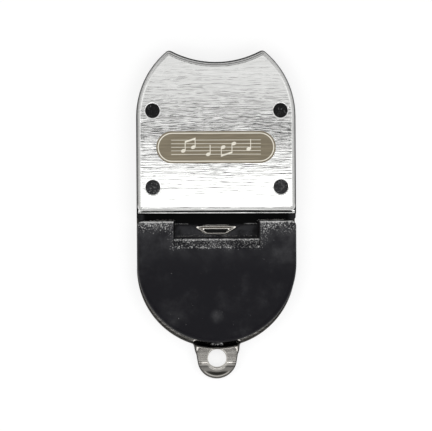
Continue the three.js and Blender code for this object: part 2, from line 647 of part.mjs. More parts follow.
// A rivet with a countersunk head in front and a flared tail in the back plate.
function rivet() {
  const head = RIVET_HEAD_DIAMETER / 2;
  const shank = RIVET_SHANK_DIAMETER / 2;
  const tail = shank + RIVET_TAIL_FLARE - BACK_RECESS;
  const profile = [
    new THREE.Vector2(0, BACK_RECESS),
    new THREE.Vector2(tail, BACK_RECESS),
    new THREE.Vector2(shank, BACK_RECESS + tail - shank),
    new THREE.Vector2(shank, COVER_Z - RIVET_HEAD_LAND - (head - shank)),
    new THREE.Vector2(head, COVER_Z - RIVET_HEAD_LAND),
    new THREE.Vector2(head, COVER_Z),
    new THREE.Vector2(0, COVER_Z),
  ];
  return new THREE.LatheGeometry(profile, RIVET_STEPS).rotateX(Math.PI / 2);
}

// Assembly

const steelFront = new THREE.MeshStandardMaterial({ color: 0xc9c9c7, roughness: 0.34, metalness: 1 });
const steelBack = new THREE.MeshStandardMaterial({ color: 0xbdb9b1, roughness: 0.3, metalness: 1 });
const blackMoulding = new THREE.MeshStandardMaterial({ color: 0x1c1b1f, roughness: 0.5, metalness: 0 });
const blackRivet = new THREE.MeshStandardMaterial({ color: 0x121113, roughness: 0.4, metalness: 0 });

function piece(name, geometry, material) {
  const mesh = new THREE.Mesh(geometry, material);
  mesh.name = name;
  return mesh;
}

const flute = new THREE.Group();
flute.name = 'nose_flute';
flute.add(piece('back_plate', geometryOf(backPlate()), steelBack));
flute.add(piece('duct_block', geometryOf(ductBlock()), blackMoulding));
flute.add(piece('front_cover', geometryOf(frontCover()), steelFront));
flute.add(piece('mouth_cover', geometryOf(mouthCover()), blackMoulding));

for (const [name, centre] of Object.entries(RIVETS)) {
  const mesh = piece(name, rivet(), blackRivet);
  mesh.position.set(centre.x, centre.y, 0);
  flute.add(mesh);
}

export default flute;
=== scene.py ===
"""Nose flute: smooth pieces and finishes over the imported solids. Sizes are in millimetres until a
mesh is made, and the frame is the solids' own: +Z out of the front, +Y towards the nose end."""

import math

import bmesh
import bpy
import numpy as np
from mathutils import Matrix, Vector
from mathutils.geometry import delaunay_2d_cdt


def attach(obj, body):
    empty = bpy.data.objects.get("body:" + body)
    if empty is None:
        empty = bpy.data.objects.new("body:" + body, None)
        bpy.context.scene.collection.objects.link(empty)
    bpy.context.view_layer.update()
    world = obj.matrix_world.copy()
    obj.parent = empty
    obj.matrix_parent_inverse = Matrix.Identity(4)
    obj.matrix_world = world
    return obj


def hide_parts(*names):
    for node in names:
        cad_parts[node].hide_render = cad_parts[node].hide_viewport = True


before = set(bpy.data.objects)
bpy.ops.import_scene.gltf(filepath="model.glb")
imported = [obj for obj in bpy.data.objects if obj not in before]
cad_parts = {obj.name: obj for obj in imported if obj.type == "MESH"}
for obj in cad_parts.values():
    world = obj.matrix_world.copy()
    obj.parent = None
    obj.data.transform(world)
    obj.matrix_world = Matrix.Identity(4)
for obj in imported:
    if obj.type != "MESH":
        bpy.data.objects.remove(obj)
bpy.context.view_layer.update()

MM = 0.001
WELD = 2e-7  # metres

# Outline seen from the front
SIDE = 22.5
SHOULDER_RADIUS = 23.8
SHOULDER_Y = 42.4
SADDLE_RADIUS = 27.1
SADDLE_CENTRE = np.array([0.0, 84.85])
HORN_RADIUS = 1.3
SHARPEST_CORNER = 0.3

# Back plate and lanyard tab
PLATE = 1.0
PLATE_ROUND = 0.3
MOUTH_ARC = np.array([0.0, 1.1])
PLATE_ARC = np.array([0.0, -0.5])
TAB_HALF = 5.6
TAB_TIP = 5.7
TAB_HOLE = 2.6
TAB_HOLE_Y = -26.0
TAB_HOLE_ROUND = 0.36
TAB_FILLET = 1.0
TAB_TAPER = math.radians(10)  # on the oval of the tip, where a side leaves it
TAB_RISE = 2.6
JOGGLE_ARC = 22.7
JOGGLE_ANGLE = math.radians(80)
JOGGLE_RADIUS = 0.8
JOGGLE_FADE = (12.8, 16.8)  # degrees from the middle over which the joggle dies away
TIP_ANGLE = math.radians(29)
TIP_BEND_Y = -26.7
TIP_RADIUS = 3.0
SLOT_HALF = 2.0
SLOT_ALONG = (1.4, 2.7)

# Front cover
LEDGE_Z = 5.0
COVER_Z = 8.2
COVER_WALL = 0.8
COVER_ROLL = 1.3
COVER_CORNER = 1.6
COVER_FOOT_Y = 15.5
COVER_REVEAL = 0.3
COVER_SHIFT = np.array([-0.1, 0.0])
COVER_SINK = 0.13
LIP_Y = 14.92
LIP_BACK_Y = 15.24
LIP_HALF = 22.1
LIP_END = 0.8
LIP_FALL = 0.3
LIP_RAISE = 0.1
LIP_SKEW = -0.0036

# Window, labium and mouth cover
CHEEK_Y = 12.9
WINDOW_HALF = 12.05
LABIUM_Y = 7.8
LABIUM_Z = 4.4
LABIUM_EDGE = 0.4
UNDERCUT = 1.2
RAMP_RUN = 2.4
RAMP_FLARE = 0.3
MOUTH_COVER_Z = 6.8
MOUTH_COVER_ROLL = 1.5
GATE = np.array([0.4, -13.6])
NIB_HALF = 1.7
NIB_Z = (1.9, 2.8)
NIB_REACH = 1.4
BLOCK_FOOT_Y = 13.2
SILL_HALF = 11.6
WINDOW_FLOOR_Y = 8.54
BLOCK_WELD = 1e-6  # metres
BLOCK_BEVEL = 0.1

# Mouth hole, nostril opening and rivets
MOUTH_HOLE_Y = 11.02
MOUTH_HOLE_TOP = 9.8
MOUTH_HOLE_BOTTOM = 5.0
MOUTH_HOLE_HEIGHT = 1.3
MOUTH_HOLE_CORNER = 0.3
COLLAR_WIDTH = 0.42
COLLAR_Z = 2.0
NOSTRIL_RADIUS = 40.1
NOSTRIL_HALF = 7.0
NOSTRIL_SPAN = 13.0
NOSTRIL_CUT = 1.5
RIVET_HEAD = 2.0
RIVET_SHANK = 1.5
RIVET_BORE = 1.65
DISH = 2.2
BACK_RECESS = 0.1
RIVETS = {
    "rivet_upper_left": (-18.0, 43.9),
    "rivet_upper_right": (18.0, 43.9),
    "rivet_lower_left": (-18.0, 22.4),
    "rivet_lower_right": (18.0, 22.4),
}

# Printed panel
PANEL = (-17.0, 16.6, 29.1, 38.1)
BORDER_INSETS = (0.42, 0.72)
PANEL_LOW = COVER_Z - 0.005
FIELD_Z = COVER_Z + 0.012
LINE_Z = COVER_Z + 0.02
NOTE_Z = COVER_Z + 0.026

FLAT_MARGIN = 0.12  # flat strip beside a rounded edge, which keeps the shading of the flat even

# Finishes, painted shade and painted light
HAZE_AND_LIGHT = (0.036, 0.036, 0.039)  # grey film on the black mouldings, also used for painted sheen and painted light
# painted shade: the dark colour put on the steel where shade and dark reflections fall
PAINTED_SHADE = (0.018, 0.017, 0.015)
NO_WEAR = -0.9  # amount at which no speckle shows

# Light and camera, in metres and degrees
FLOOR_HALF = 3.0
FLOOR_LIFT = 0.7
FLOOR_SHADOW_Y = 10.4  # millimetres, middle of the painted shadow under the mouth hole
FLOOR_SHADOW_SQUEEZE = (0.4, 1.0, 1.0)
FLOOR_PAINT = (0.36, 0.36, 0.36)
# colour of the painted shadow under the mouth hole
FLOOR_SHADE = (0.03, 0.03, 0.03)
SKY_LOW = 0.1
SKY_HIGH = 0.8
SKY_ZENITH = 0.06
SKY_SIDE = 0.95
BOX_HEIGHT = 0.35
OVERHEAD_BOXES = {  # place along y, width, depth and radiance
    "softbox_overhead": (0.008, 0.5, 0.06, 2.25),
    "softbox_nose_end": (0.1135, 0.5, 0.113, 1.09),
    "softbox_tab": (-0.09, 0.3, 0.09, 0.65),
    "softbox_bend": (-0.155, 0.3, 0.04, 3.0),
}
LOW_BOX = ((0.0, -0.475, 0.155), (0.6, 0.17), (0.0, 0.0, 0.0), 1.3)  # place, size, aim and radiance
CAMERA_PLACE = (-0.02997, 0.01264, 0.604)
CAMERA_TURN = (0.187, -2.847, -0.339)
CAMERA_LENS = 177.14
CAMERA_SENSOR = 36.0


# Curves


def arc(centre, radius, start, end, steps, last=False):
    """Points on a circle from one angle to another: centre + radius (cos, sin)."""
    t = np.linspace(start, end, steps, endpoint=last)
    return np.stack([centre[0] + radius * np.cos(t), centre[1] + radius * np.sin(t)], axis=1)


def circle(centre, radius, steps=72):
    """A full turn of the arc, counter-clockwise."""
    return arc(centre, radius, 0.0, 2 * math.pi, steps)


def mirrored(points):
    """The points with x turned over, in reverse order, so that a loop keeps its sense."""
    return (points * [-1, 1])[::-1]


def angle_to(start, end):
    """Direction from one point to another, as an angle from +x."""
    return math.atan2(end[1] - start[1], end[0] - start[0])


def crossing(first, first_radius, second, second_radius):
    """Where two circles cross, on the right of the line from the first centre to the second."""
    between = second - first
    apart = np.linalg.norm(between)
    along = (first_radius**2 - second_radius**2 + apart**2) / (2 * apart)
    across = math.sqrt(first_radius**2 - along**2)
    towards = between / apart
    return first + towards * along + np.array([towards[1], -towards[0]]) * across


def nose_end(inset, sink=0.0):
    """Shoulder, horn and hollow as tangent arcs, moved inwards by inset, and their mirror image; the
    hollow lies deeper by sink."""
    shoulder = SHOULDER_RADIUS - inset
    saddle = SADDLE_RADIUS + inset
    horn = max(HORN_RADIUS - inset, SHARPEST_CORNER)
    shoulder_centre = np.array([SIDE - SHOULDER_RADIUS, SHOULDER_Y])
    saddle_centre = SADDLE_CENTRE - [0.0, sink]
    horn_centre = crossing(shoulder_centre, shoulder - horn, saddle_centre, saddle + horn)
    leave = angle_to(shoulder_centre, horn_centre)
    meet = angle_to(horn_centre, saddle_centre)
    right = np.concatenate([
        arc(shoulder_centre, shoulder, 0.0, leave, 44),
        arc(horn_centre, horn, leave, meet, 16),
        arc(saddle_centre, saddle, meet - math.pi, -math.pi / 2, 30),
    ])
    middle = np.array([[0.0, saddle_centre[1] - saddle]])
    return np.concatenate([right, middle, mirrored(right)])


def square_foot(inset, y, corner):
    """A straight lower edge with round corners, from left to right."""
    radius = max(corner - inset, SHARPEST_CORNER)
    centre = np.array([SIDE - inset - radius, y + inset + radius])
    right = arc(centre, radius, 1.5 * math.pi, 2 * math.pi, 11, last=True)
    return np.concatenate([mirrored(right), right])


def cover_outline(inset):
    """The front cover's outline: the body's own, with a black edge left in view round it, as wide on
    both sides from where the flute is looked at."""
    inset = inset + COVER_REVEAL
    foot = square_foot(inset, COVER_FOOT_Y - COVER_REVEAL, COVER_CORNER + COVER_REVEAL)
    return np.concatenate([nose_end(inset, COVER_SINK), foot]) + COVER_SHIFT


def trapezium(top, bottom, top_y, height, grow):
    """Four straight sides, the wide side up, moved outwards by grow; its corners keep one radius."""
    corners = np.array([
        [-bottom / 2, top_y - height],
        [bottom / 2, top_y - height],
        [top / 2, top_y],
        [-top / 2, top_y],
    ])
    radius = MOUTH_HOLE_CORNER
    pieces = []
    for i, here in enumerate(corners):
        arriving = angle_to(corners[i - 1], here) - math.pi / 2
        leaving = angle_to(here, corners[(i + 1) % 4]) - math.pi / 2
        turn = (leaving - arriving) % (2 * math.pi)
        middle = arriving + turn / 2
        outward = np.array([math.cos(middle), math.sin(middle)]) / math.cos(turn / 2)
        pieces.append(arc(here + (grow - radius) * outward, radius, arriving, arriving + turn, 8, last=True))
    return np.concatenate(pieces)


def mouth_hole(grow):
    """The hole that opens into the mouth, moved outwards by grow."""
    return trapezium(MOUTH_HOLE_TOP, MOUTH_HOLE_BOTTOM, MOUTH_HOLE_Y, MOUTH_HOLE_HEIGHT, grow)


def nostril(inset):
    """A slot bent round the hollow: two arcs about the hollow's centre joined by round ends."""
    half = NOSTRIL_HALF - inset
    reach = math.asin(NOSTRIL_SPAN / 2 / NOSTRIL_RADIUS)
    left, right = -math.pi / 2 - reach, -math.pi / 2 + reach
    ends = [SADDLE_CENTRE + NOSTRIL_RADIUS * np.array([math.cos(a), math.sin(a)]) for a in (left, right)]
    return np.concatenate([
        arc(SADDLE_CENTRE, NOSTRIL_RADIUS + half, left, right, 24),
        arc(ends[1], half, right, right + math.pi, 36),
        arc(SADDLE_CENTRE, NOSTRIL_RADIUS - half, right, left, 24),
        arc(ends[0], half, left + math.pi, left + 2 * math.pi, 36),
    ])


def rounded_box(x0, x1, y0, y1, corner, steps=8):
    """A rectangle with a quarter arc at each corner, counter-clockwise."""
    xs = (x1 - corner, x0 + corner, x0 + corner, x1 - corner)
    ys = (y1 - corner, y1 - corner, y0 + corner, y0 + corner)
    starts = np.arange(4) * math.pi / 2
    return np.concatenate([
        arc((x, y), corner, start, start + math.pi / 2, steps, last=True)
        for x, y, start in zip(xs, ys, starts)
    ])


def offset(loop, distance):
    """A loop moved inwards by distance, along the bisector of the two edges at each point."""
    before = loop - np.roll(loop, 1, axis=0)
    after = np.roll(loop, -1, axis=0) - loop
    before = before / np.linalg.norm(before, axis=1, keepdims=True)
    after = after / np.linalg.norm(after, axis=1, keepdims=True)
    inward = np.stack([-(before + after)[:, 1], (before + after)[:, 0]], axis=1)
    inward = inward / np.linalg.norm(inward, axis=1, keepdims=True)
    lean = np.sum(inward * np.stack([-after[:, 1], after[:, 0]], axis=1), axis=1)
    return loop + inward * (distance / lean)[:, None]


def quarter(start, end, bulge, steps=5):
    """Rows of a quarter round between two (inset, z) points; bulge is the corner it turns round."""
    t = np.linspace(0, math.pi / 2, steps + 1)
    start, end, bulge = np.array(start), np.array(end), np.array(bulge)
    centre = start + end - bulge
    return centre + (start - centre) * np.cos(t)[:, None] + (end - centre) * np.sin(t)[:, None]


# Meshes


def inside(points, loop):
    """Even-odd test of every point against every edge of a loop, as one array."""
    x, y = points[:, :1], points[:, 1:]
    x0, y0 = loop[:, 0], loop[:, 1]
    x1, y1 = np.roll(x0, -1), np.roll(y0, -1)
    spans = (y0 > y) != (y1 > y)
    with np.errstate(divide="ignore", invalid="ignore"):
        left_of = x < (x1 - x0) * (y - y0) / (y1 - y0) + x0
    return (spans & left_of).sum(axis=1) % 2 == 1


class Shell:
    """Bands and flats that are welded into one closed mesh."""

    def __init__(self):
        """Starts without points."""
        self.points = []
        self.faces = []
        self.count = 0

    def add(self, points, faces):
        """Appends points, and faces whose numbers start behind the points that are there already."""
        self.points.append(np.asarray(points, float))
        self.faces.extend((np.asarray(faces) + self.count).tolist())
        self.count += len(points)

    def band(self, grid):
        """Quads between neighbouring rows of a grid whose columns close on themselves."""
        rows, cols = grid.shape[:2]
        index = np.arange(rows * cols).reshape(rows, cols)
        right = np.roll(index, -1, axis=1)
        quads = np.stack([index[:-1], right[:-1], right[1:], index[1:]], axis=-1)
        self.add(grid.reshape(-1, 3), quads.reshape(-1, 4))

    def flat(self, loops, place, extra=None):
        """Triangles inside the first loop and outside the others; place turns (x, y) into points."""
        starts = np.cumsum([0] + [len(loop) for loop in loops])
        runs = [np.arange(a, b) for a, b in zip(starts[:-1], starts[1:])]
        edges = np.concatenate([np.stack([run, np.roll(run, -1)], axis=1) for run in runs])
        points = np.concatenate(loops if extra is None else [*loops, extra])
        found = delaunay_2d_cdt(list(map(Vector, points.tolist())), edges.tolist(), [], 0, 1e-6)
        corners = np.array([v[:] for v in found[0]])
        triangles = np.array(found[2])
        middles = corners[triangles].mean(axis=1)
        keep = inside(middles, loops[0])
        for hole in loops[1:]:
            keep &= ~inside(middles, hole)
        self.add(place(corners), triangles[keep])

    def slab(self, loop_at, levels, lean=lambda points: points):
        """A closed solid: rows of one loop at each (inset, z) and a flat over both ends; lean may
        shift the finished points."""
        self.band(np.stack([lean(row) for row in rings(loop_at, levels)]))
        for inset, z in (levels[0], levels[-1]):
            self.flat([loop_at(inset)], lambda points, z=z: lean(at(z)(points)))

    def make(self, name, material, sharp=35.0):
        """The welded mesh in metres, facing outwards and shaded smooth up to a sharp angle."""
        mesh = bpy.data.meshes.new(name)
        mesh.from_pydata((np.concatenate(self.points) * MM).tolist(), [], self.faces)
        work = bmesh.new()
        work.from_mesh(mesh)
        bmesh.ops.remove_doubles(work, verts=work.verts, dist=WELD)
        bmesh.ops.dissolve_degenerate(work, edges=work.edges, dist=WELD)
        bmesh.ops.recalc_face_normals(work, faces=work.faces)
        work.to_mesh(mesh)
        work.free()
        finish_shading(mesh, sharp)
        return piece_of(name, mesh, material)


def finish_shading(mesh, sharp):
    """Shades a mesh smooth, except over edges with more than the sharp angle."""
    mesh.polygons.foreach_set("use_smooth", np.ones(len(mesh.polygons), bool))
    mesh.set_sharp_from_angle(angle=math.radians(sharp))
    mesh.update()


def piece_of(name, mesh, material):
    """An object in the scene with one material."""
    piece = bpy.data.objects.new(name, mesh)
    bpy.context.scene.collection.objects.link(piece)
    mesh.materials.append(material)
    return piece


def at(z):
    """Lifts flat points to one height."""
    return lambda points: np.column_stack([points, np.full(len(points), z)])


def rings(outline, profile):
    """A grid with one row for each (inset, z) of the profile: the outline moved in, at that z."""
    return np.stack([at(z)(outline(inset)) for inset, z in profile])


def turned(centre, profile, steps=72):
    """A profile of (radius, z) rows turned about an upright axis through centre."""
    return rings(lambda radius: circle(centre, radius, steps), profile)


# Front cover


def front_cover(material):
    """Drawn sheet: one profile of walls and rolled edges carried round the outline, two flats with
    dished holes, and a lip along the lower edge."""
    shell = Shell()
    roll_z = COVER_Z - COVER_ROLL
    inner_z = COVER_Z - COVER_WALL
    edge = 0.12
    flat_inset = COVER_ROLL + FLAT_MARGIN
    profile = np.concatenate([
        [(flat_inset, inner_z)],
        quarter((COVER_ROLL, inner_z), (COVER_WALL, roll_z), (COVER_WALL, inner_z), 8),
        quarter((COVER_WALL, LEDGE_Z + edge), (COVER_WALL - edge, LEDGE_Z), (COVER_WALL, LEDGE_Z), 3),
        quarter((edge, LEDGE_Z), (0.0, LEDGE_Z + edge), (0.0, LEDGE_Z), 3),
        quarter((0.0, roll_z), (COVER_ROLL, COVER_Z), (0.0, COVER_Z), 18),
        [(flat_inset, COVER_Z)],
    ])
    shell.band(rings(cover_outline, profile))
    dish = [
        (DISH + 2 * FLAT_MARGIN, COVER_Z),
        (DISH + FLAT_MARGIN, COVER_Z),
        (DISH, COVER_Z - 0.006),
        (RIVET_HEAD + 0.1, COVER_Z - 0.02),
        (RIVET_HEAD + 0.06, COVER_Z - 0.05),
        (RIVET_HEAD + 0.04, COVER_Z - 0.14),
        (RIVET_BORE, inner_z + 0.06),
        (RIVET_BORE, inner_z),
        (RIVET_BORE + FLAT_MARGIN, inner_z),
    ]
    for radius, z in (dish[0], dish[-1]):
        shell.flat([cover_outline(flat_inset)] + [circle(c, radius) for c in RIVETS.values()], at(z))
    for centre in RIVETS.values():
        shell.band(turned(centre, dish))
    lip(shell)
    return shell.make("front_cover_sheet", material)


def lip(shell):
    """A strip in front of the wall's foot, joined to the wall at both ends; its rounded edge is
    carried round the strip, its top falls forwards, and the whole lies a little askew."""
    back = COVER_FOOT_Y + COVER_WALL / 2
    inner = LIP_HALF - LIP_END
    right = np.array([
        [LIP_HALF, LIP_Y],
        [LIP_HALF, back],
        [inner, back],
        [inner, LIP_BACK_Y],
    ])
    strip = np.concatenate([right, mirrored(right)])
    top = LEDGE_Z + COVER_WALL
    nose = 0.12
    section = np.concatenate([
        quarter((nose, LEDGE_Z), (0.0, LEDGE_Z + nose), (0.0, LEDGE_Z), 5),
        quarter((0.0, top - 2 * nose), (nose, top), (0.0, top), 7),
    ])

    def falling(points):
        """Drops a point by its share of the strip's height times how far it lies in front."""
        share = (points[:, 2] - LEDGE_Z) / COVER_WALL
        drop = LIP_FALL * np.minimum(LIP_BACK_Y - points[:, 1], LIP_BACK_Y - LIP_Y) * share
        raised = LIP_RAISE + LIP_SKEW * points[:, 0]
        return points + np.column_stack([np.zeros(len(points)), raised, -np.maximum(drop, 0.0)])

    shell.slab(lambda inset: offset(strip, inset), section, falling)


# Mouth cover


def mouth_cover_outline(inset, half, foot_y):
    """The round end and straight head moved in by inset, with a notch of that half width and foot."""
    radius = max(MOUTH_COVER_ROLL - inset, SHARPEST_CORNER)
    centre = np.array([SIDE - inset - radius, CHEEK_Y - inset - radius])
    corner = 0.3
    right = np.concatenate([
        arc(centre, radius, 0.0, math.pi / 2, 13, last=True),
        [[half, CHEEK_Y - inset]],
        arc((half - corner, foot_y + corner), corner, 0.0, -math.pi / 2, 7, last=True),
    ])
    round_end = arc(MOUTH_ARC, SIDE - inset, math.pi, 2 * math.pi, 121, last=True)
    return np.concatenate([right, mirrored(right), round_end])


def mouth_cover(material):
    """Moulding: rows of the notched outline from the back up to the front, where the notch's foot
    runs back under the labium, up its edge and along the ramp."""
    shell = Shell()
    edge_z = LABIUM_Z - LABIUM_EDGE
    under_y = LABIUM_Y - UNDERCUT
    slope = RAMP_RUN / (MOUTH_COVER_Z - LABIUM_Z)
    rim = 0.65
    rows = [
        (0.0, WINDOW_HALF, under_y, PLATE),
        (0.0, WINDOW_HALF, under_y, edge_z),
        (0.0, WINDOW_HALF, LABIUM_Y - 0.08, edge_z),
        (0.0, WINDOW_HALF, LABIUM_Y, edge_z + 0.08),
        (0.0, WINDOW_HALF, LABIUM_Y, LABIUM_Z - 0.1),
        (0.0, WINDOW_HALF, LABIUM_Y - 0.05, LABIUM_Z - 0.02),
    ]
    turn = np.linspace(0, math.pi / 2, 25)
    heights = np.concatenate([
        np.linspace(LABIUM_Z + 0.05, MOUTH_COVER_Z - MOUTH_COVER_ROLL, 4, endpoint=False),
        MOUTH_COVER_Z - MOUTH_COVER_ROLL * (1 - np.sin(turn)),
    ])
    insets = np.concatenate([np.zeros(4), MOUTH_COVER_ROLL * (1 - np.cos(turn))])
    share = (heights - LABIUM_Z) / (MOUTH_COVER_Z - LABIUM_Z)
    into_rim = np.maximum(heights - (MOUTH_COVER_Z - rim), 0.0)
    open_up = rim - np.sqrt(np.maximum(rim**2 - into_rim**2, 0.0))
    halves = WINDOW_HALF + RAMP_FLARE * share + open_up
    feet = LABIUM_Y - slope * (heights - LABIUM_Z) - open_up
    rows += list(zip(insets, halves, feet, heights))
    inset, half, foot_y, z = rows[-1]
    rows.append((inset + FLAT_MARGIN, half + FLAT_MARGIN, foot_y - FLAT_MARGIN, z))
    shell.band(np.stack([at(z)(mouth_cover_outline(i, h, f)) for i, h, f, z in rows]))
    shell.flat([mouth_cover_outline(*rows[0][:3])], at(PLATE))
    gate = [(1.5, 0.0), (1.35, 0.0), (1.22, -0.04), (1.12, -0.1), (0.95, -0.12)]
    gate += [(0.5, -0.12), (0.42, -0.1), (0.36, -0.02), (0.28, 0.0), (0.1, 0.0), (0.0, 0.0)]
    gate = [(radius, MOUTH_COVER_Z + drop) for radius, drop in gate]
    shell.flat([mouth_cover_outline(*rows[-1][:3]), circle(GATE, gate[0][0], 48)], at(MOUTH_COVER_Z))
    shell.band(turned(GATE, gate, 48))
    seals(shell)
    nib(shell)
    return shell.make("mouth_cover_moulding", material)


def seals(shell):
    """Thin edges of the moulding against the back plate, which close the joints round the window."""
    gap = 0.02
    reach = 0.15
    low_y = LABIUM_Y - UNDERCUT - reach
    edges = [
        (-SIDE + 0.5, -WINDOW_HALF, CHEEK_Y - reach, BLOCK_FOOT_Y - gap),
        (WINDOW_HALF, SIDE - 0.5, CHEEK_Y - reach, BLOCK_FOOT_Y - gap),
        (-WINDOW_HALF - reach, -SILL_HALF - gap, low_y, BLOCK_FOOT_Y - gap),
        (SILL_HALF + gap, WINDOW_HALF + reach, low_y, BLOCK_FOOT_Y - gap),
        (-SILL_HALF, SILL_HALF, low_y, WINDOW_FLOOR_Y - gap),
    ]
    levels = [(0.0, PLATE), (0.0, PLATE + 0.25), (0.03, PLATE + 0.3)]
    for box in edges:
        loop = rounded_box(*box, 0.05, 3)
        shell.slab(lambda inset: offset(loop, inset), levels)


def nib(shell):
    """The snap nib at the tab's root: a rounded (x, z) section carried out along -y."""
    section = rounded_box(-NIB_HALF, NIB_HALF, *NIB_Z, 0.2, 5)
    start = MOUTH_ARC[1] - SIDE
    end = start - NIB_REACH
    reach = [(0.0, start + 0.6), (0.0, end + 0.15), (0.06, end + 0.05), (0.18, end)]
    grid = np.stack([
        np.column_stack([ring[:, 0], np.full(len(ring), y), ring[:, 1]])
        for ring, y in ((offset(section, inset), y) for inset, y in reach)
    ])
    shell.band(grid)
    for ring in (grid[0], grid[-1]):
        shell.add(ring, [list(range(len(ring)))])


# Back plate


def joggle_table():
    """Along the sheet through the joggle: how far out and how far up it has gone at mid thickness.
    The climbing angle grows along the first bend, stays, and dies away along the second."""
    bend = JOGGLE_RADIUS * JOGGLE_ANGLE
    slope = (TAB_RISE - 2 * JOGGLE_RADIUS * (1 - math.cos(JOGGLE_ANGLE))) / math.sin(JOGGLE_ANGLE)
    corners = np.cumsum([0.0, bend, slope, bend])
    along = np.linspace(0.0, corners[-1], 4001)
    angle = np.interp(along, corners, [0.0, JOGGLE_ANGLE, JOGGLE_ANGLE, 0.0])
    middle = (angle[1:] + angle[:-1]) / 2
    out = np.concatenate([[0.0], np.cumsum(along[1] * np.cos(middle))])
    up = np.concatenate([[0.0], np.cumsum(along[1] * np.sin(middle))])
    return along, out, up


ALONG, OUT, UP = joggle_table()


def tab_share(points):
    """1 before the tab and 0 beside it: a smooth step over the angle about the mouth arc's centre."""
    angle = np.abs(np.degrees(np.arctan2(points[:, 0], MOUTH_ARC[1] - points[:, 1])))
    t = np.clip((JOGGLE_FADE[1] - angle) / (JOGGLE_FADE[1] - JOGGLE_FADE[0]), 0.0, 1.0)
    return t * t * (3 - 2 * t)


def folded(flat):
    """From the flat sheet to its plan: along the joggle, a distance from the mouth arc's centre
    shrinks by what the climb takes up."""
    rel = flat - MOUTH_ARC
    reach = np.linalg.norm(rel, axis=1)
    past = reach - JOGGLE_ARC
    shrink = np.clip(past, 0.0, ALONG[-1]) - np.interp(past, ALONG, OUT)
    return MOUTH_ARC + rel * (1 - tab_share(flat) * shrink / reach)[:, None]


def unfolded(plan):
    """The reverse of folded, by repeated correction, which halves the error every few rounds."""
    flat = plan.copy()
    for _ in range(120):
        flat += plan - folded(flat)
    return flat


def climb(plan):
    """Height of the sheet above the plate: up the joggle, and down again past the bend at the tip."""
    past = np.linalg.norm(plan - MOUTH_ARC, axis=1) - JOGGLE_ARC
    beyond = np.maximum(TIP_BEND_Y - plan[:, 1], 0.0)
    bend = TIP_RADIUS * math.sin(TIP_ANGLE)
    tip = np.arcsin(np.minimum(beyond, bend) / TIP_RADIUS)
    drop = TIP_RADIUS * (1 - np.cos(tip)) + np.maximum(beyond - bend, 0.0) * math.tan(TIP_ANGLE)
    return tab_share(plan) * np.interp(past, OUT, UP) - drop


def pressed(flat, lift):
    """Points of the bent sheet: the plan at its height, moved by lift along the sheet's normal,
    which comes from the height's differences."""
    plan = folded(flat)
    nudge = 0.002
    slopes = [(climb(plan + step) - climb(plan - step)) / (2 * nudge) for step in np.eye(2) * nudge]
    normal = np.column_stack([-slopes[0], -slopes[1], np.ones(len(plan))])
    normal = normal / np.linalg.norm(normal, axis=1, keepdims=True)
    return np.column_stack([plan, PLATE / 2 + climb(plan)]) + lift * normal


def tab_side():
    """The tab's left side, a tangent of the tip's oval: where it leaves the oval, and its way up."""
    angle = math.pi + TAB_TAPER
    foot = np.array([TAB_HALF * math.cos(angle), TAB_HOLE_Y + TAB_TIP * math.sin(angle)])
    up = np.array([TAB_HALF * math.sin(angle), -TAB_TIP * math.cos(angle)])
    return foot, up / np.linalg.norm(up)


def tab_fillet():
    """Centre of the fillet between the round end and the tab's left side: on the side moved out by the
    fillet's radius, where it is both radii away from the round end's centre."""
    foot, up = tab_side()
    start = foot + TAB_FILLET * np.array([-up[1], up[0]]) - PLATE_ARC
    fall = start @ up
    along = -fall - math.sqrt(fall**2 - start @ start + (SIDE + TAB_FILLET) ** 2)
    return PLATE_ARC + start + along * up


def plate_outline():
    """Nose end, round end, fillets and the tab's round tip as one loop in plan."""
    centre = tab_fillet()
    touch = angle_to(centre, PLATE_ARC)
    foot, up = tab_side()
    top = centre + TAB_FILLET * np.array([up[1], -up[0]])
    t = np.linspace(math.pi + TAB_TAPER, 1.5 * math.pi, 34, endpoint=False)
    left = np.concatenate([
        arc(PLATE_ARC, SIDE, math.pi, math.pi + touch, 110),
        arc(centre, TAB_FILLET, touch, angle_to(centre, top), 24),
        top + np.linspace(0, 1, 8, endpoint=False)[:, None] * (foot - top),
        np.stack([TAB_HALF * np.cos(t), TAB_HOLE_Y + TAB_TIP * np.sin(t)], axis=1),
    ])
    tip = np.array([[0.0, TAB_HOLE_Y - TAB_TIP]])
    return np.concatenate([nose_end(0.0), left, tip, mirrored(left)])


def edge_profile(front, back):
    """Rows of (inset, lift) round a sheet's edge, with its own radius in front and behind."""
    half = PLATE / 2
    return np.concatenate([
        [(front + FLAT_MARGIN, half)],
        quarter((front, half), (0.0, half - front), (0.0, half), 6),
        quarter((0.0, back - half), (back, -half), (0.0, -half), 4),
        [(back + FLAT_MARGIN, -half)],
    ])


def collar_rows():
    """Loops and heights of the raised collar: up outside, over a thin rim, down into a groove, up to a
    ledge along the wide side, through the hole and out of the flare behind."""
    def sunk(drop, narrowed):
        """The hole with its wide side let down and made narrower."""
        top_y, height = MOUTH_HOLE_Y - drop, MOUTH_HOLE_HEIGHT - drop
        return trapezium(MOUTH_HOLE_TOP - narrowed, MOUTH_HOLE_BOTTOM, top_y, height, 0.0)

    rim = COLLAR_WIDTH
    groove = sunk(0.04, 0.18)
    ledge = sunk(0.18, 0.3)
    hole = sunk(0.38, 0.55)
    low, top = PLATE, COLLAR_Z
    outside = [(rim + 0.3, low), (rim + 0.2, low), (rim + 0.05, low + 0.04), (rim, low + 0.2)]
    outside += [(rim, top - 0.06), (rim - 0.02, top - 0.015), (rim - 0.06, top), (rim - 0.18, top)]
    outside += [(rim - 0.2, top - 0.04)]
    within = [(groove, top - 0.7), (ledge, top - 0.34), (hole, top - 0.35), (hole, top - 0.75)]
    flare = [(0.0, 0.5), (0.5, 0.0), (0.5 + FLAT_MARGIN, 0.0)]
    rows = [(mouth_hole(grow), z) for grow, z in outside] + within
    return rows + [(mouth_hole(grow), z) for grow, z in flare]


def tab_hole(grow):
    """The lanyard hole in the flat sheet: what folds into a circle."""
    return unfolded(circle((0.0, TAB_HOLE_Y), TAB_HOLE + grow, 96))


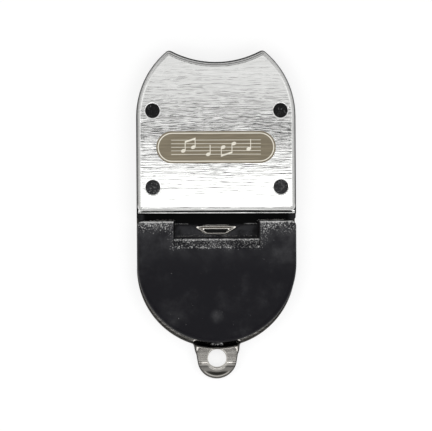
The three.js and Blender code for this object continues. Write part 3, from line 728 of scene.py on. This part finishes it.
def fill_points():
    """Points inside the plate: close polar rows over the joggle and the tab, and a wide square grid."""
    joggle = ALONG[-1]
    joggle_step, tab_step, turn_step, wide_step = 0.14, 0.3, 0.8, 3.0
    over_joggle = np.arange(-0.6, joggle, joggle_step)
    reach = np.concatenate([over_joggle, np.arange(joggle, joggle + 8.0, tab_step)])
    angle = np.radians(np.arange(-25.0, 25.1, turn_step)) - math.pi / 2
    polar_reach, polar_angle = np.meshgrid(JOGGLE_ARC + reach, angle)
    polar = np.stack([np.cos(polar_angle), np.sin(polar_angle)], axis=-1) * polar_reach[..., None]
    xs, ys = np.arange(-21.0, 21.1, wide_step), np.arange(-19.0, 60.0, wide_step)
    wide = np.stack(np.meshgrid(xs, ys), axis=-1)
    return np.concatenate([polar.reshape(-1, 2) + MOUTH_ARC, wide.reshape(-1, 2)])


def back_plate(material):
    """One sheet: every edge is a profile carried along its loop, the two faces fill between the
    loops, and the whole is pressed into shape."""
    shell = Shell()
    half = PLATE / 2
    outline = unfolded(plate_outline())
    outer = edge_profile(PLATE_ROUND, PLATE_ROUND)
    shell.band(np.stack([pressed(offset(outline, inset), lift) for inset, lift in outer]))
    slot_y = MOUTH_ARC[1] - JOGGLE_ARC - np.array(SLOT_ALONG)
    slot = rounded_box(-SLOT_HALF, SLOT_HALF, slot_y[1], slot_y[0], 0.2, 5)
    holes = [
        (tab_hole, edge_profile(TAB_HOLE_ROUND, 0.15)),
        (lambda inset: offset(slot, -inset), edge_profile(0.08, 0.08)),
        (lambda inset: nostril(-NOSTRIL_CUT - inset), edge_profile(0.15, 0.15)),
    ]
    sink = RIVET_BORE + 0.6
    bore = [
        (RIVET_BORE + 0.08 + FLAT_MARGIN, half),
        (RIVET_BORE + 0.08, half),
        (RIVET_BORE, half - 0.08),
        (RIVET_BORE, 0.6 - half),
        (sink, -half),
        (sink + FLAT_MARGIN, -half),
    ]
    holes += [(lambda inset, c=centre: circle(c, inset), bore) for centre in RIVETS.values()]
    for loop_at, profile in holes:
        shell.band(np.stack([pressed(loop_at(inset), lift) for inset, lift in profile]))
    collar = collar_rows()
    shell.band(np.stack([at(z)(loop) for loop, z in collar]))
    grid = fill_points()
    clear = 0.1  # between a loop and the fill's own points
    for row, lift in ((0, half), (-1, -half)):
        margin = outer[row][0]
        loops = [offset(outline, margin), collar[row][0]]
        keep = inside(grid, offset(outline, margin + clear))
        keep &= ~inside(grid, offset(collar[row][0], -clear))
        for loop_at, profile in holes:
            keep &= ~inside(grid, loop_at(profile[row][0] + clear))
            loops.append(loop_at(profile[row][0]))
        shell.flat(loops, lambda points, lift=lift: pressed(points, lift), grid[keep])
    return shell.make("back_plate_sheet", material)


# Rivets


def rivet(name, material):
    """A turned pin: flush head with a round edge, countersunk neck, shank and flared tail."""
    tail = RIVET_SHANK + 0.5
    profile = np.concatenate([
        [(0.0, BACK_RECESS), (tail - 0.2, BACK_RECESS), (tail - 0.05, BACK_RECESS + 0.04)],
        [(tail, BACK_RECESS + 0.12), (RIVET_SHANK, BACK_RECESS + 0.55), (RIVET_SHANK, COVER_Z - 0.65)],
        [(RIVET_HEAD, COVER_Z - 0.15)],
        quarter((RIVET_HEAD, COVER_Z - 0.12), (RIVET_HEAD - 0.12, COVER_Z), (RIVET_HEAD, COVER_Z), 4),
        [(RIVET_HEAD - 0.3, COVER_Z + 0.01), (1.0, COVER_Z + 0.025)],
        [(0.5, COVER_Z + 0.03), (0.0, COVER_Z + 0.03)],
    ])
    shell = Shell()
    shell.band(turned(RIVETS[name], profile, 64))
    return shell.make(name + "_pin", material)


# Duct block


def duct_block(material):
    """The block's own solid, welded, with its edges broken by a fine bevel."""
    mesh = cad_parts["duct_block"].data.copy()
    mesh.name = "duct_block_moulding"
    work = bmesh.new()
    work.from_mesh(mesh)
    bmesh.ops.remove_doubles(work, verts=work.verts, dist=BLOCK_WELD)
    flat = math.radians(0.5)
    bmesh.ops.dissolve_limit(work, angle_limit=flat, verts=work.verts, edges=work.edges)
    work.to_mesh(mesh)
    work.free()
    mesh.materials.clear()
    finish_shading(mesh, 30.0)
    piece = piece_of("duct_block_moulding", mesh, material)
    bevel = piece.modifiers.new("broken_edges", "BEVEL")
    bevel.width = BLOCK_BEVEL * MM
    bevel.segments = 2
    bevel.limit_method = "ANGLE"
    bevel.angle_limit = math.radians(40)
    bevel.use_clamp_overlap = True
    return piece


# Printed panel


def printed(layers):
    """Flat loops, each a thin closed layer from just inside the steel up to its own height."""
    shell = Shell()
    for loop, z in layers:
        shell.slab(lambda inset: loop, [(0.0, PANEL_LOW), (0.0, z)])
    return shell


def panel_border():
    """The panel's edge: a box with round ends."""
    corner = (PANEL[3] - PANEL[2]) / 2 - 0.01
    return rounded_box(*PANEL, corner, 24)


def panel_field(material):
    """The panel's ground: the border filled."""
    return printed([(panel_border(), FIELD_Z)]).make("panel_ground", material)


def oval(centre, length, width, tilt, steps=36):
    """An ellipse turned by tilt."""
    t = np.linspace(0.0, 2 * math.pi, steps, endpoint=False)
    x, y = length / 2 * np.cos(t), width / 2 * np.sin(t)
    c, s = math.cos(tilt), math.sin(tilt)
    return np.stack([centre[0] + c * x - s * y, centre[1] + s * x + c * y], axis=1)


def panel_lines(material):
    """Cream print on the panel: a border, five staff lines and a few notes joined by beams."""
    x0, x1, y0, y1 = PANEL
    middle = (y0 + y1) / 2
    spacing = 1.0
    staff_margin, staff_half = 4.2, 0.07
    lines = [
        (rounded_box(x0 + staff_margin, x1 - staff_margin, y - staff_half, y + staff_half, 0.06, 4), LINE_Z)
        for y in middle + spacing * np.arange(-2, 3)
    ]
    notes = [  # place along x, step above the middle line, and which way the stem points
        (-9.4, -1.0, 1), (-6.6, 0.0, 1), (-2.4, -2.0, 1), (1.8, 0.0, -1), (4.8, 1.0, -1), (9.0, -0.5, 1),
    ]
    stem, stem_half, stem_side = 2.7, 0.11, 0.53
    beam_half, beam_past = 0.25, 0.1
    head_length, head_width, tilt = 1.35, 0.95, math.radians(20)
    beam_ends = []
    for x, step, up in notes:
        y = middle + step * spacing
        lines.append((oval((x, y), head_length, head_width, tilt), NOTE_Z))
        side = x + up * stem_side
        low, high = sorted((y + up * 0.1, y + up * stem))
        post = rounded_box(side - stem_half, side + stem_half, low, high, 0.05, 3)
        lines.append((post, NOTE_Z + 0.002))
        beam_ends.append((side, y + up * (stem - beam_half)))
    for first, second in ((0, 1), (3, 4)):
        (ax, ay), (bx, by) = beam_ends[first], beam_ends[second]
        ax, bx = ax - beam_past, bx + beam_past
        beam = [[ax, ay - beam_half], [bx, by - beam_half], [bx, by + beam_half], [ax, ay + beam_half]]
        lines.append((np.array(beam), NOTE_Z + 0.004))
    shell = printed(lines)
    outer, inner = (offset(panel_border(), inset) for inset in BORDER_INSETS)
    levels = (PANEL_LOW, LINE_Z, LINE_Z, PANEL_LOW, PANEL_LOW)
    loops = (outer, outer, inner, inner, outer)
    shell.band(np.stack([at(z)(loop) for loop, z in zip(loops, levels)]))
    return shell.make("panel_print", material)


# Nodes


def feed(socket, value):
    """Links another node's output to a socket, or sets the socket's own value."""
    if isinstance(value, bpy.types.NodeSocket):
        socket.id_data.links.new(value, socket)
    else:
        socket.default_value = value


def fed(made, *terms, **values):
    """Gives a node its settings and inputs by name, and then the terms to its first inputs."""
    for key, value in values.items():
        label = key.replace("_", " ")
        if label in made.inputs:
            feed(made.inputs[label], value)
        else:
            setattr(made, key, value)
    for socket, term in zip(made.inputs, terms):
        feed(socket, term)
    return made


def node(tree, kind, *terms, **values):
    """A new node, fed in the same way."""
    return fed(tree.nodes.new(kind), *terms, **values)


def sums(operation, *terms):
    """A Math node whose inputs are other nodes' outputs or plain numbers."""
    tree = next(term.id_data for term in terms if isinstance(term, bpy.types.NodeSocket))
    return node(tree, "ShaderNodeMath", *terms, operation=operation).outputs[0]


def chained(operation, first, *others):
    """The terms taken together by one operation, one after the other."""
    for other in others:
        first = sums(operation, first, other)
    return first


def times(*terms):
    """The product of the terms."""
    return chained("MULTIPLY", *terms)


def plus(*terms):
    """The sum of the terms."""
    return chained("ADD", *terms)


def largest(*terms):
    """The largest of the terms."""
    return chained("MAXIMUM", *terms)


def ramped(value, low, high, start=0.0, end=1.0):
    """A smooth step from start to end while the value goes from low to high."""
    span = {"From_Min": low, "From_Max": high, "To_Min": start, "To_Max": end}
    made = node(value.id_data, "ShaderNodeMapRange", interpolation_type="SMOOTHSTEP", Value=value, **span)
    return made.outputs[0]


def faded(value, low, high, start=0.0, end=1.0):
    """The same smooth step over a length in millimetres."""
    return ramped(value, low * MM, high * MM, start, end)


def band_between(value, rise, fall):
    """1 between two steps in millimetres: up over the first pair of lengths, down over the second."""
    return times(faded(value, *rise), faded(value, *fall, 1.0, 0.0))


def between(factor, low, high):
    """A value or colour that runs from low to high with the factor."""
    kind = "FLOAT" if isinstance(low, float) else "RGBA"
    made = node(factor.id_data, "ShaderNodeMix", data_type=kind)
    sockets = [socket for socket in made.inputs if socket.enabled]
    for socket, value in zip(sockets, (factor, low, high)):
        feed(socket, (*value, 1.0) if isinstance(value, tuple) else value)
    return next(socket for socket in made.outputs if socket.enabled)


def noise(vector, scale, detail, roughness):
    """Fractal noise over a place."""
    look = {"Scale": scale, "Detail": detail, "Roughness": roughness}
    return node(vector.id_data, "ShaderNodeTexNoise", Vector=vector, **look).outputs["Fac"]


def parted(vector):
    """The x, y and z of a place."""
    return node(vector.id_data, "ShaderNodeSeparateXYZ", vector).outputs


def in_plan(x, y):
    """The place with its height left out."""
    return node(x.id_data, "ShaderNodeCombineXYZ", x, y).outputs[0]


def distance_from(vector, x, y, z=0.0):
    """How far the vector is from a place given in millimetres."""
    place = (x * MM, y * MM, z * MM)
    return node(vector.id_data, "ShaderNodeVectorMath", vector, place, operation="DISTANCE").outputs["Value"]


def bump(height, distance):
    """The normal over a height that stands for the given distance."""
    return node(height.id_data, "ShaderNodeBump", Strength=1.0, Distance=distance, Height=height).outputs[0]


def new_group(name, inputs, outputs):
    """A shader node group that takes a place and some numbers and gives numbers; returns the tree, the
    sockets that lead in and the node that leads out."""
    tree = bpy.data.node_groups.new(name, "ShaderNodeTree")
    number = "NodeSocketFloat"
    tree.interface.new_socket("Vector", in_out="INPUT", socket_type="NodeSocketVector")
    for label, value in inputs.items():
        tree.interface.new_socket(label, in_out="INPUT", socket_type=number).default_value = value
    for label in outputs:
        tree.interface.new_socket(label, in_out="OUTPUT", socket_type=number)
    return tree, node(tree, "NodeGroupInput").outputs, node(tree, "NodeGroupOutput")


def brushed_grain_group():
    """Strokes along x: noise squeezed across the strokes, in a fine and a coarse layer, over broad
    and shallow waves of the sheet."""
    sizes = {"Stroke Length": 0.0048, "Stroke Width": 0.00021, "Waves": 3.0}
    tree, start, end = new_group("brushed_grain", sizes, ["Strokes", "Height"])
    vector = start["Vector"]
    along = sums("DIVIDE", 1.0, start["Stroke Length"])
    across = sums("DIVIDE", 1.0, start["Stroke Width"])
    scale = node(tree, "ShaderNodeCombineXYZ", along, across, along).outputs[0]
    squeezed = node(tree, "ShaderNodeVectorMath", vector, scale, operation="MULTIPLY").outputs[0]
    coarse_scale, coarse_share = 0.37, 0.45
    waves_scale = 70.0
    fine = times(noise(squeezed, 1.0, 1.0, 0.5), 1.0 - coarse_share)
    mixed = sums("MULTIPLY_ADD", noise(squeezed, coarse_scale, 1.0, 0.5), coarse_share, fine)
    waves = noise(vector, waves_scale, 1.0, 0.4)
    height = sums("MULTIPLY_ADD", waves, start["Waves"], mixed)
    fed(end, Strokes=ramped(mixed, 0.36, 0.64), Height=height)
    return tree


def speckle_group():
    """Speckles: a fine noise cut off sharply, and more of it where the amount is high."""
    tree, start, end = new_group("speckle", {"Size": 0.00042, "Amount": 0.2}, ["Mask", "Clouds"])
    vector = start["Vector"]
    fine = noise(vector, sums("DIVIDE", 1.0, start["Size"]), 3.0, 0.7)
    clouds_scale, clouds_share = 260.0, 0.35
    fine_share, fine_start = 1.6, -0.3
    amount_share = 0.4
    clouds = noise(vector, clouds_scale, 3.0, 0.55)
    level = sums("MULTIPLY_ADD", fine, fine_share, fine_start)
    level = sums("MULTIPLY_ADD", clouds, clouds_share, level)
    raised = sums("MULTIPLY_ADD", start["Amount"], amount_share, level)
    fed(end, Mask=ramped(raised, 0.82, 1.2), Clouds=clouds)
    return tree


def new_material(name, **constants):
    """A material with constant shader values, its shader, and the place on the piece."""
    material = bpy.data.materials.new(name)
    material.use_nodes = True
    tree = material.node_tree
    shader = fed(tree.nodes["Principled BSDF"], **constants)
    return material, shader, node(tree, "ShaderNodeTexCoord").outputs["Object"]


def placed(group, vector, **values):
    """The outputs of a node group that is set into a material."""
    return node(vector.id_data, "ShaderNodeGroup", node_tree=group, Vector=vector, **values).outputs


# Finishes, painted shade and painted light


def rim_painted_shade(flat, y):
    """Painted shade along the mouth cover's round edge, and a painted dark outline on the round end's outer
    edge, as far as the tab.
    """
    from_mouth_arc = distance_from(flat, *MOUTH_ARC)
    ring = faded(from_mouth_arc, 22.5, 22.85, 0.95, 0.0)
    edge = faded(distance_from(flat, *PLATE_ARC), 21.3, 22.1, 0.0, 0.92)
    edge = times(edge, faded(from_mouth_arc, 24.3, 24.6, 1.0, 0.0))
    return times(largest(edge, ring), faded(y, -1.0, 2.0, 1.0, 0.0))


def tab_edge_painted_shade(across, y):
    """Painted shade along the tab's sides and round the fillets at its root."""
    fillet = tab_fillet()
    to_fillet = distance_from(in_plan(across, y), -fillet[0], fillet[1])
    corner = faded(to_fillet, TAB_FILLET + 0.2, TAB_FILLET + 0.45, 0.9, 0.0)
    foot, up = tab_side()
    half = -foot[0]
    above_foot = sums("SUBTRACT", y, foot[1] * MM)
    out = sums("MULTIPLY_ADD", above_foot, up[0] / up[1], across)
    sides = faded(out, half - 0.4, half - 0.2, 0.0, 0.9)
    below_fillet = faded(y, fillet[1] - 0.3, fillet[1] + 0.1, 1.0, 0.0)
    return largest(corner, times(sides, below_fillet))


def tip_painted_shade(flat, across, y):
    """Painted shade past the tab's bend, for dark reflections: dull from the hole outwards, with a lit line
    before the outer edge, a dark crescent below the hole, and dark ends of the bend that dim its highlight."""
    from_hole = distance_from(flat, 0.0, TAB_HOLE_Y)
    dull = times(faded(from_hole, 3.1, 3.6), faded(y, -28.4, -27.5, 0.75, 0.0))
    line = band_between(from_hole, (4.85, 5.05), (5.15, 5.3))
    line = times(line, faded(y, -30.4, -29.4, -0.6, 0.0))
    outer = faded(from_hole, 5.2, 5.35, 0.0, 0.15)
    crescent = band_between(from_hole, (3.1, 4.1), (4.7, 5.5))
    crescent = times(crescent, faded(y, -30.2, -27.8, 1.0, 0.0))
    bend = band_between(y, (-27.9, -27.6), (-26.9, -26.6))
    bend = times(bend, faded(across, 4.0, 4.7, 0.0, 0.6))
    return largest(plus(dull, line, outer), crescent, bend)


def joint_painted_shade(across, y, z):
    """Painted shade on the plate's front at both sides, where the two mouldings meet."""
    joint = band_between(y, (10.5, 11.2), (14.2, 14.8))
    return times(joint, faded(across, 19.0, 20.0), faded(z, 0.75, 0.9))


def plate_painted_shade(vector):
    """The back plate's painted shade: the darkest of its parts everywhere."""
    x, y, z = parted(vector)
    across = sums("ABSOLUTE", x)
    flat = in_plan(x, y)
    tab = largest(tab_edge_painted_shade(across, y), tip_painted_shade(flat, across, y))
    return largest(rim_painted_shade(flat, y), tab, joint_painted_shade(across, y, z))


def wall_shade(vector):
    """Painted shade for a dark reflection: a dark line where the rolled edge turns into the drawn wall; the
    lower edge has none.
    """
    place = parted(vector)
    top = COVER_Z
    band = band_between(place["Z"], (top - 1.6, top - 1.1), (top - 0.75, top - 0.36))
    return times(band, faded(place["Y"], 16.6, 18.0, 0.0, 0.93))


def brushed_steel(name, dark, light, smooth, rough, depth, painted_shade):
    """Steel under strokes: they change its colour and gloss and stand for a depth, and painted shade
    darkens some places."""
    material, shader, vector = new_material(name, Metallic=1.0)
    strokes = placed(grain, vector)
    # painted shade: the mask mixes the steel towards a dark colour
    colour = between(painted_shade(vector), between(strokes["Strokes"], dark, light), PAINTED_SHADE)
    roughness = between(strokes["Strokes"], smooth, rough)
    fed(shader, Base_Color=colour, Roughness=roughness, Normal=bump(strokes["Height"], depth))
    return material


def black_plastic(name, colour, haze_and_light_colour, pale, smooth, rough, wear_and_light, gloss=0.12):
    """Satin moulding: clouds change its gloss, a grey film that is partly painted sheen and painted light
    lies where the finish function puts it, and pale speckles gather where it is rubbed."""
    material, shader, vector = new_material(name, Specular_IOR_Level=gloss)
    amount, haze_and_light = wear_and_light(vector)
    marks = placed(speckle, vector, Amount=amount)
    # the grey is partly a film and partly painted sheen and painted light
    ground = between(times(haze_and_light, ramped(marks["Clouds"], 0.3, 0.7, 0.3, 1.5)), colour, haze_and_light_colour)
    speckled = between(marks["Mask"], ground, pale)
    roughness = between(marks["Clouds"], smooth, rough)
    fed(shader, Base_Color=speckled, Roughness=roughness, Normal=bump(marks["Mask"], 0.00001))
    return material


def head_wear(across, y, z):
    """Rubbed strongly along the mouth cover's head, less towards the mouth and down the walls, and
    again beside the window."""
    head = faded(y, 5.0, 12.4, NO_WEAR, 0.48)
    edge = faded(y, 12.2, 12.7, 0.0, 0.9)
    beside = times(band_between(y, (3.5, 5.5), (5.5, 11.5)), faded(across, 12.0, 16.5, 1.15, 0.0))
    walls = faded(z, 5.2, 6.3, -1.2, 0.0)
    return plus(head, edge, beside, walls)


def ramp_wear(across, y):
    """Rubbed over the ramp, more along the labium and a little along the ramp's upper edge."""
    ramp = times(band_between(y, (4.7, 5.4), (7.8, 8.0)), 1.3)
    labium = times(band_between(y, (7.3, 7.55), (7.9, 8.1)), 0.5)
    top = times(band_between(y, (5.15, 5.3), (5.5, 5.65)), 0.1)
    middle = faded(across, 11.9, 12.4, 1.0, 0.0)
    return sums("MULTIPLY_ADD", middle, plus(ramp, labium, top), NO_WEAR)


def mouth_cover_wear_and_sheen(vector):
    """Rubbing of the mouth cover: on its head, its ramp, the nib's end, the gate mark's ring and a few
    patches; a grey film lies in smears and about the gate mark, and painted sheen greys it towards the head."""
    x, y, z = parted(vector)
    across = sums("ABSOLUTE", x)
    ring = band_between(distance_from(vector, *GATE, MOUTH_COVER_Z), (0.9, 1.1), (1.2, 1.45))
    ring = sums("MULTIPLY_ADD", ring, 0.85, NO_WEAR)
    patches = ramped(noise(vector, 330.0, 2.0, 0.5), 0.6, 0.72, NO_WEAR, -0.02)
    nib_end = faded(y, -21.7, -21.5, 0.6, NO_WEAR)
    amount = largest(head_wear(across, y, z), ramp_wear(across, y), ring, patches, nib_end)
    from_gate = distance_from(vector, GATE[0] - 0.5, GATE[1] - 0.4, MOUTH_COVER_Z)
    bloom = faded(from_gate, 0.3, 2.6, 0.85, 0.0)
    smears = ramped(noise(vector, 110.0, 7.0, 0.68), 0.46, 0.8, 0.0, 0.5)
    # smears and the gate's bloom are a grey film; the rise towards the head is painted sheen
    return amount, plus(largest(bloom, smears), faded(y, -2.0, 12.4, 0.0, 0.85))


def block_wear_and_light(vector):
    """The block is black in the windway, painted light greys the window's floor a little, its outer walls
    are a little grey, and it is rubbed along the floor's edge and along the sill on both sides of the
    funnel."""
    x, y, z = parted(vector)
    across = sums("ABSOLUTE", x)
    sill = band_between(y, (11.85, 12.0), (12.2, 12.35))
    sill = times(sill, band_between(across, (7.4, 8.2), (12.2, 12.6)))
    foot = band_between(y, (8.4, 8.55), (8.75, 9.3))
    foot = times(foot, faded(across, 11.0, 11.5, 0.35, 0.0))
    amount = sums("MULTIPLY_ADD", largest(sill, foot), 1.2, faded(y, 8.0, 14.0, 0.0, -0.5))
    outside = largest(faded(across, 20.0, 21.5), faded(y, 17.0, 20.0))
    walls = times(outside, faded(z, 4.5, 4.9, 0.7, 0.0))
    # painted light: the window's floor is greyer than the windway
    return amount, largest(walls, faded(y, 11.2, 12.3, 0.8, 0.0))


def rivet_wear(vector):
    """Even, and a little more on the lower pair."""
    y = parted(vector)["Y"]
    return faded(y, 24.0, 42.0, 0.3, 0.1), faded(y, 24.0, 42.0, 0.45, 0.0)


def print_ink(name, dark, light):
    """Matt print that keeps a little of the steel's grain under it."""
    material, shader, vector = new_material(name, Roughness=0.55, Specular_IOR_Level=0.3)
    strokes = placed(grain, vector)
    colour = between(strokes["Strokes"], dark, light)
    fed(shader, Base_Color=colour, Normal=bump(strokes["Height"], 0.000002))
    return material


# Looks

grain = brushed_grain_group()
speckle = speckle_group()
front_steel = brushed_steel(
    "front_steel_brushed", (0.61, 0.61, 0.60), (0.67, 0.67, 0.66), 0.05, 0.09, 0.000021, wall_shade
)
back_steel = brushed_steel(
    "back_steel_satin", (0.47, 0.45, 0.42), (0.57, 0.55, 0.515), 0.09, 0.15, 0.000002, plate_painted_shade
)
moulding = black_plastic(
    "black_moulding", (0.0038, 0.0035, 0.006), HAZE_AND_LIGHT, (0.72, 0.72, 0.71), 0.34, 0.5, mouth_cover_wear_and_sheen
)
# painted shade: the block is a darker, less glossy copy of the moulding's black, for the shade in the
# windway
block_black_shaded = black_plastic(
    "black_block_shaded", (0.0012, 0.0012, 0.0013), HAZE_AND_LIGHT, (0.2, 0.2, 0.2), 0.4, 0.55, block_wear_and_light, 0.03
)
rivet_black = black_plastic(
    "black_rivet_pin", (0.0025, 0.0025, 0.0028), HAZE_AND_LIGHT, (0.2, 0.2, 0.2), 0.3, 0.45, rivet_wear
)
ground_ink = print_ink("panel_ground_ink", (0.175, 0.148, 0.102), (0.235, 0.20, 0.137))
line_ink = print_ink("panel_line_ink", (0.74, 0.70, 0.60), (0.86, 0.82, 0.71))

pieces = [
    (front_cover(front_steel), "front_cover", "front_steel"),
    (mouth_cover(moulding), "mouth_cover", "black_moulding"),
    (back_plate(back_steel), "back_plate", "back_steel"),
    (duct_block(block_black_shaded), "duct_block", "black_moulding"),
]
pieces += [(rivet(name, rivet_black), name, "black_rivet") for name in RIVETS]
pieces += [(layer, None, "front_steel") for layer in (panel_field(ground_ink), panel_lines(line_ink))]
for piece, replaced, slot in pieces:
    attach(piece, "root")
    if replaced:
        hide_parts(replaced)

# Floor, light and camera


def floor():
    """A pale plane that shows white to the camera and in the steel, keeps the soft shadow, has a painted
    shadow under the mouth hole and is clear when seen from below."""
    mesh = bpy.data.meshes.new("floor")
    corners = FLOOR_HALF * np.array([(-1, -1, 0), (1, -1, 0), (1, 1, 0), (-1, 1, 0)])
    mesh.from_pydata(corners.tolist(), [], [(0, 1, 2, 3)])
    material = bpy.data.materials.new("floor_white")
    material.use_nodes = True
    tree = material.node_tree
    tree.nodes.clear()
    rays = node(tree, "ShaderNodeLightPath").outputs
    seen = largest(*(rays[f"Is {kind} Ray"] for kind in ("Camera", "Glossy", "Transmission")))
    place = node(tree, "ShaderNodeTexCoord").outputs["Object"]
    narrowed = node(tree, "ShaderNodeVectorMath", place, FLOOR_SHADOW_SQUEEZE, operation="MULTIPLY").outputs[0]
    # painted shadow: under the mouth hole the floor has no lift and a dark colour
    clear_of_painted_shadow = faded(distance_from(narrowed, 0.0, FLOOR_SHADOW_Y), 2.0, 2.7)
    lift = times(clear_of_painted_shadow, FLOOR_LIFT)
    glow = node(tree, "ShaderNodeEmission", Strength=times(seen, lift)).outputs[0]
    colour = between(clear_of_painted_shadow, FLOOR_SHADE, FLOOR_PAINT)
    paint = node(tree, "ShaderNodeBsdfDiffuse", Color=colour).outputs[0]
    both = node(tree, "ShaderNodeAddShader", paint, glow).outputs[0]
    clear = node(tree, "ShaderNodeBsdfTransparent").outputs[0]
    below = node(tree, "ShaderNodeNewGeometry").outputs["Backfacing"]
    sides = node(tree, "ShaderNodeMixShader", below, both, clear).outputs[0]
    node(tree, "ShaderNodeOutputMaterial", Surface=sides)
    piece_of("floor", mesh, material)


def sky():
    """Light that falls off from a high ring to the horizon, bright to both sides and dim overhead."""
    world = bpy.data.worlds.new("studio")
    bpy.context.scene.world = world
    world.use_nodes = True
    tree = world.node_tree
    direction = parted(node(tree, "ShaderNodeTexCoord").outputs["Generated"])
    up = direction["Z"]
    falling = ramped(up, 0.05, 0.85, SKY_LOW, SKY_HIGH)
    zenith = ramped(up, 0.85, 0.915, SKY_HIGH, SKY_ZENITH)
    beside = ramped(sums("ABSOLUTE", direction["X"]), 0.5, 0.65)
    sides = times(beside, ramped(up, 0.02, 0.25, 0.0, SKY_SIDE))
    level = largest(sides, sums("MINIMUM", falling, zenith))
    fed(tree.nodes["Background"], Color=(1.0, 1.0, 1.0, 1.0), Strength=level)


def softbox(name, place, size, aim, radiance):
    """A rectangular lamp of even radiance, whose power is radiance times pi times area."""
    light = bpy.data.lights.new(name, "AREA")
    light.shape = "RECTANGLE"
    light.size, light.size_y = size
    light.energy = radiance * math.pi * size[0] * size[1]
    lamp = bpy.data.objects.new(name, light)
    bpy.context.scene.collection.objects.link(lamp)
    lamp.location = place
    lamp.rotation_mode = "QUATERNION"
    lamp.rotation_quaternion = (Vector(aim) - Vector(place)).to_track_quat("-Z", "Y")
    lamp.visible_camera = False


def camera():
    """Above the front and a little to the left of it, as in the picture."""
    lens = bpy.data.cameras.new("camera")
    lens.sensor_width = CAMERA_SENSOR
    lens.lens = CAMERA_LENS
    view = bpy.data.objects.new("camera", lens)
    bpy.context.scene.collection.objects.link(view)
    view.location = CAMERA_PLACE
    view.rotation_euler = tuple(math.radians(angle) for angle in CAMERA_TURN)
    bpy.context.scene.camera = view


bpy.context.scene.view_settings.view_transform = "Standard"
floor()
sky()
for name, (y, width, depth, radiance) in OVERHEAD_BOXES.items():
    softbox(name, (0.0, y, BOX_HEIGHT), (width, depth), (0.0, y, 0.0), radiance)
softbox("softbox_low_front", *LOW_BOX)
camera()
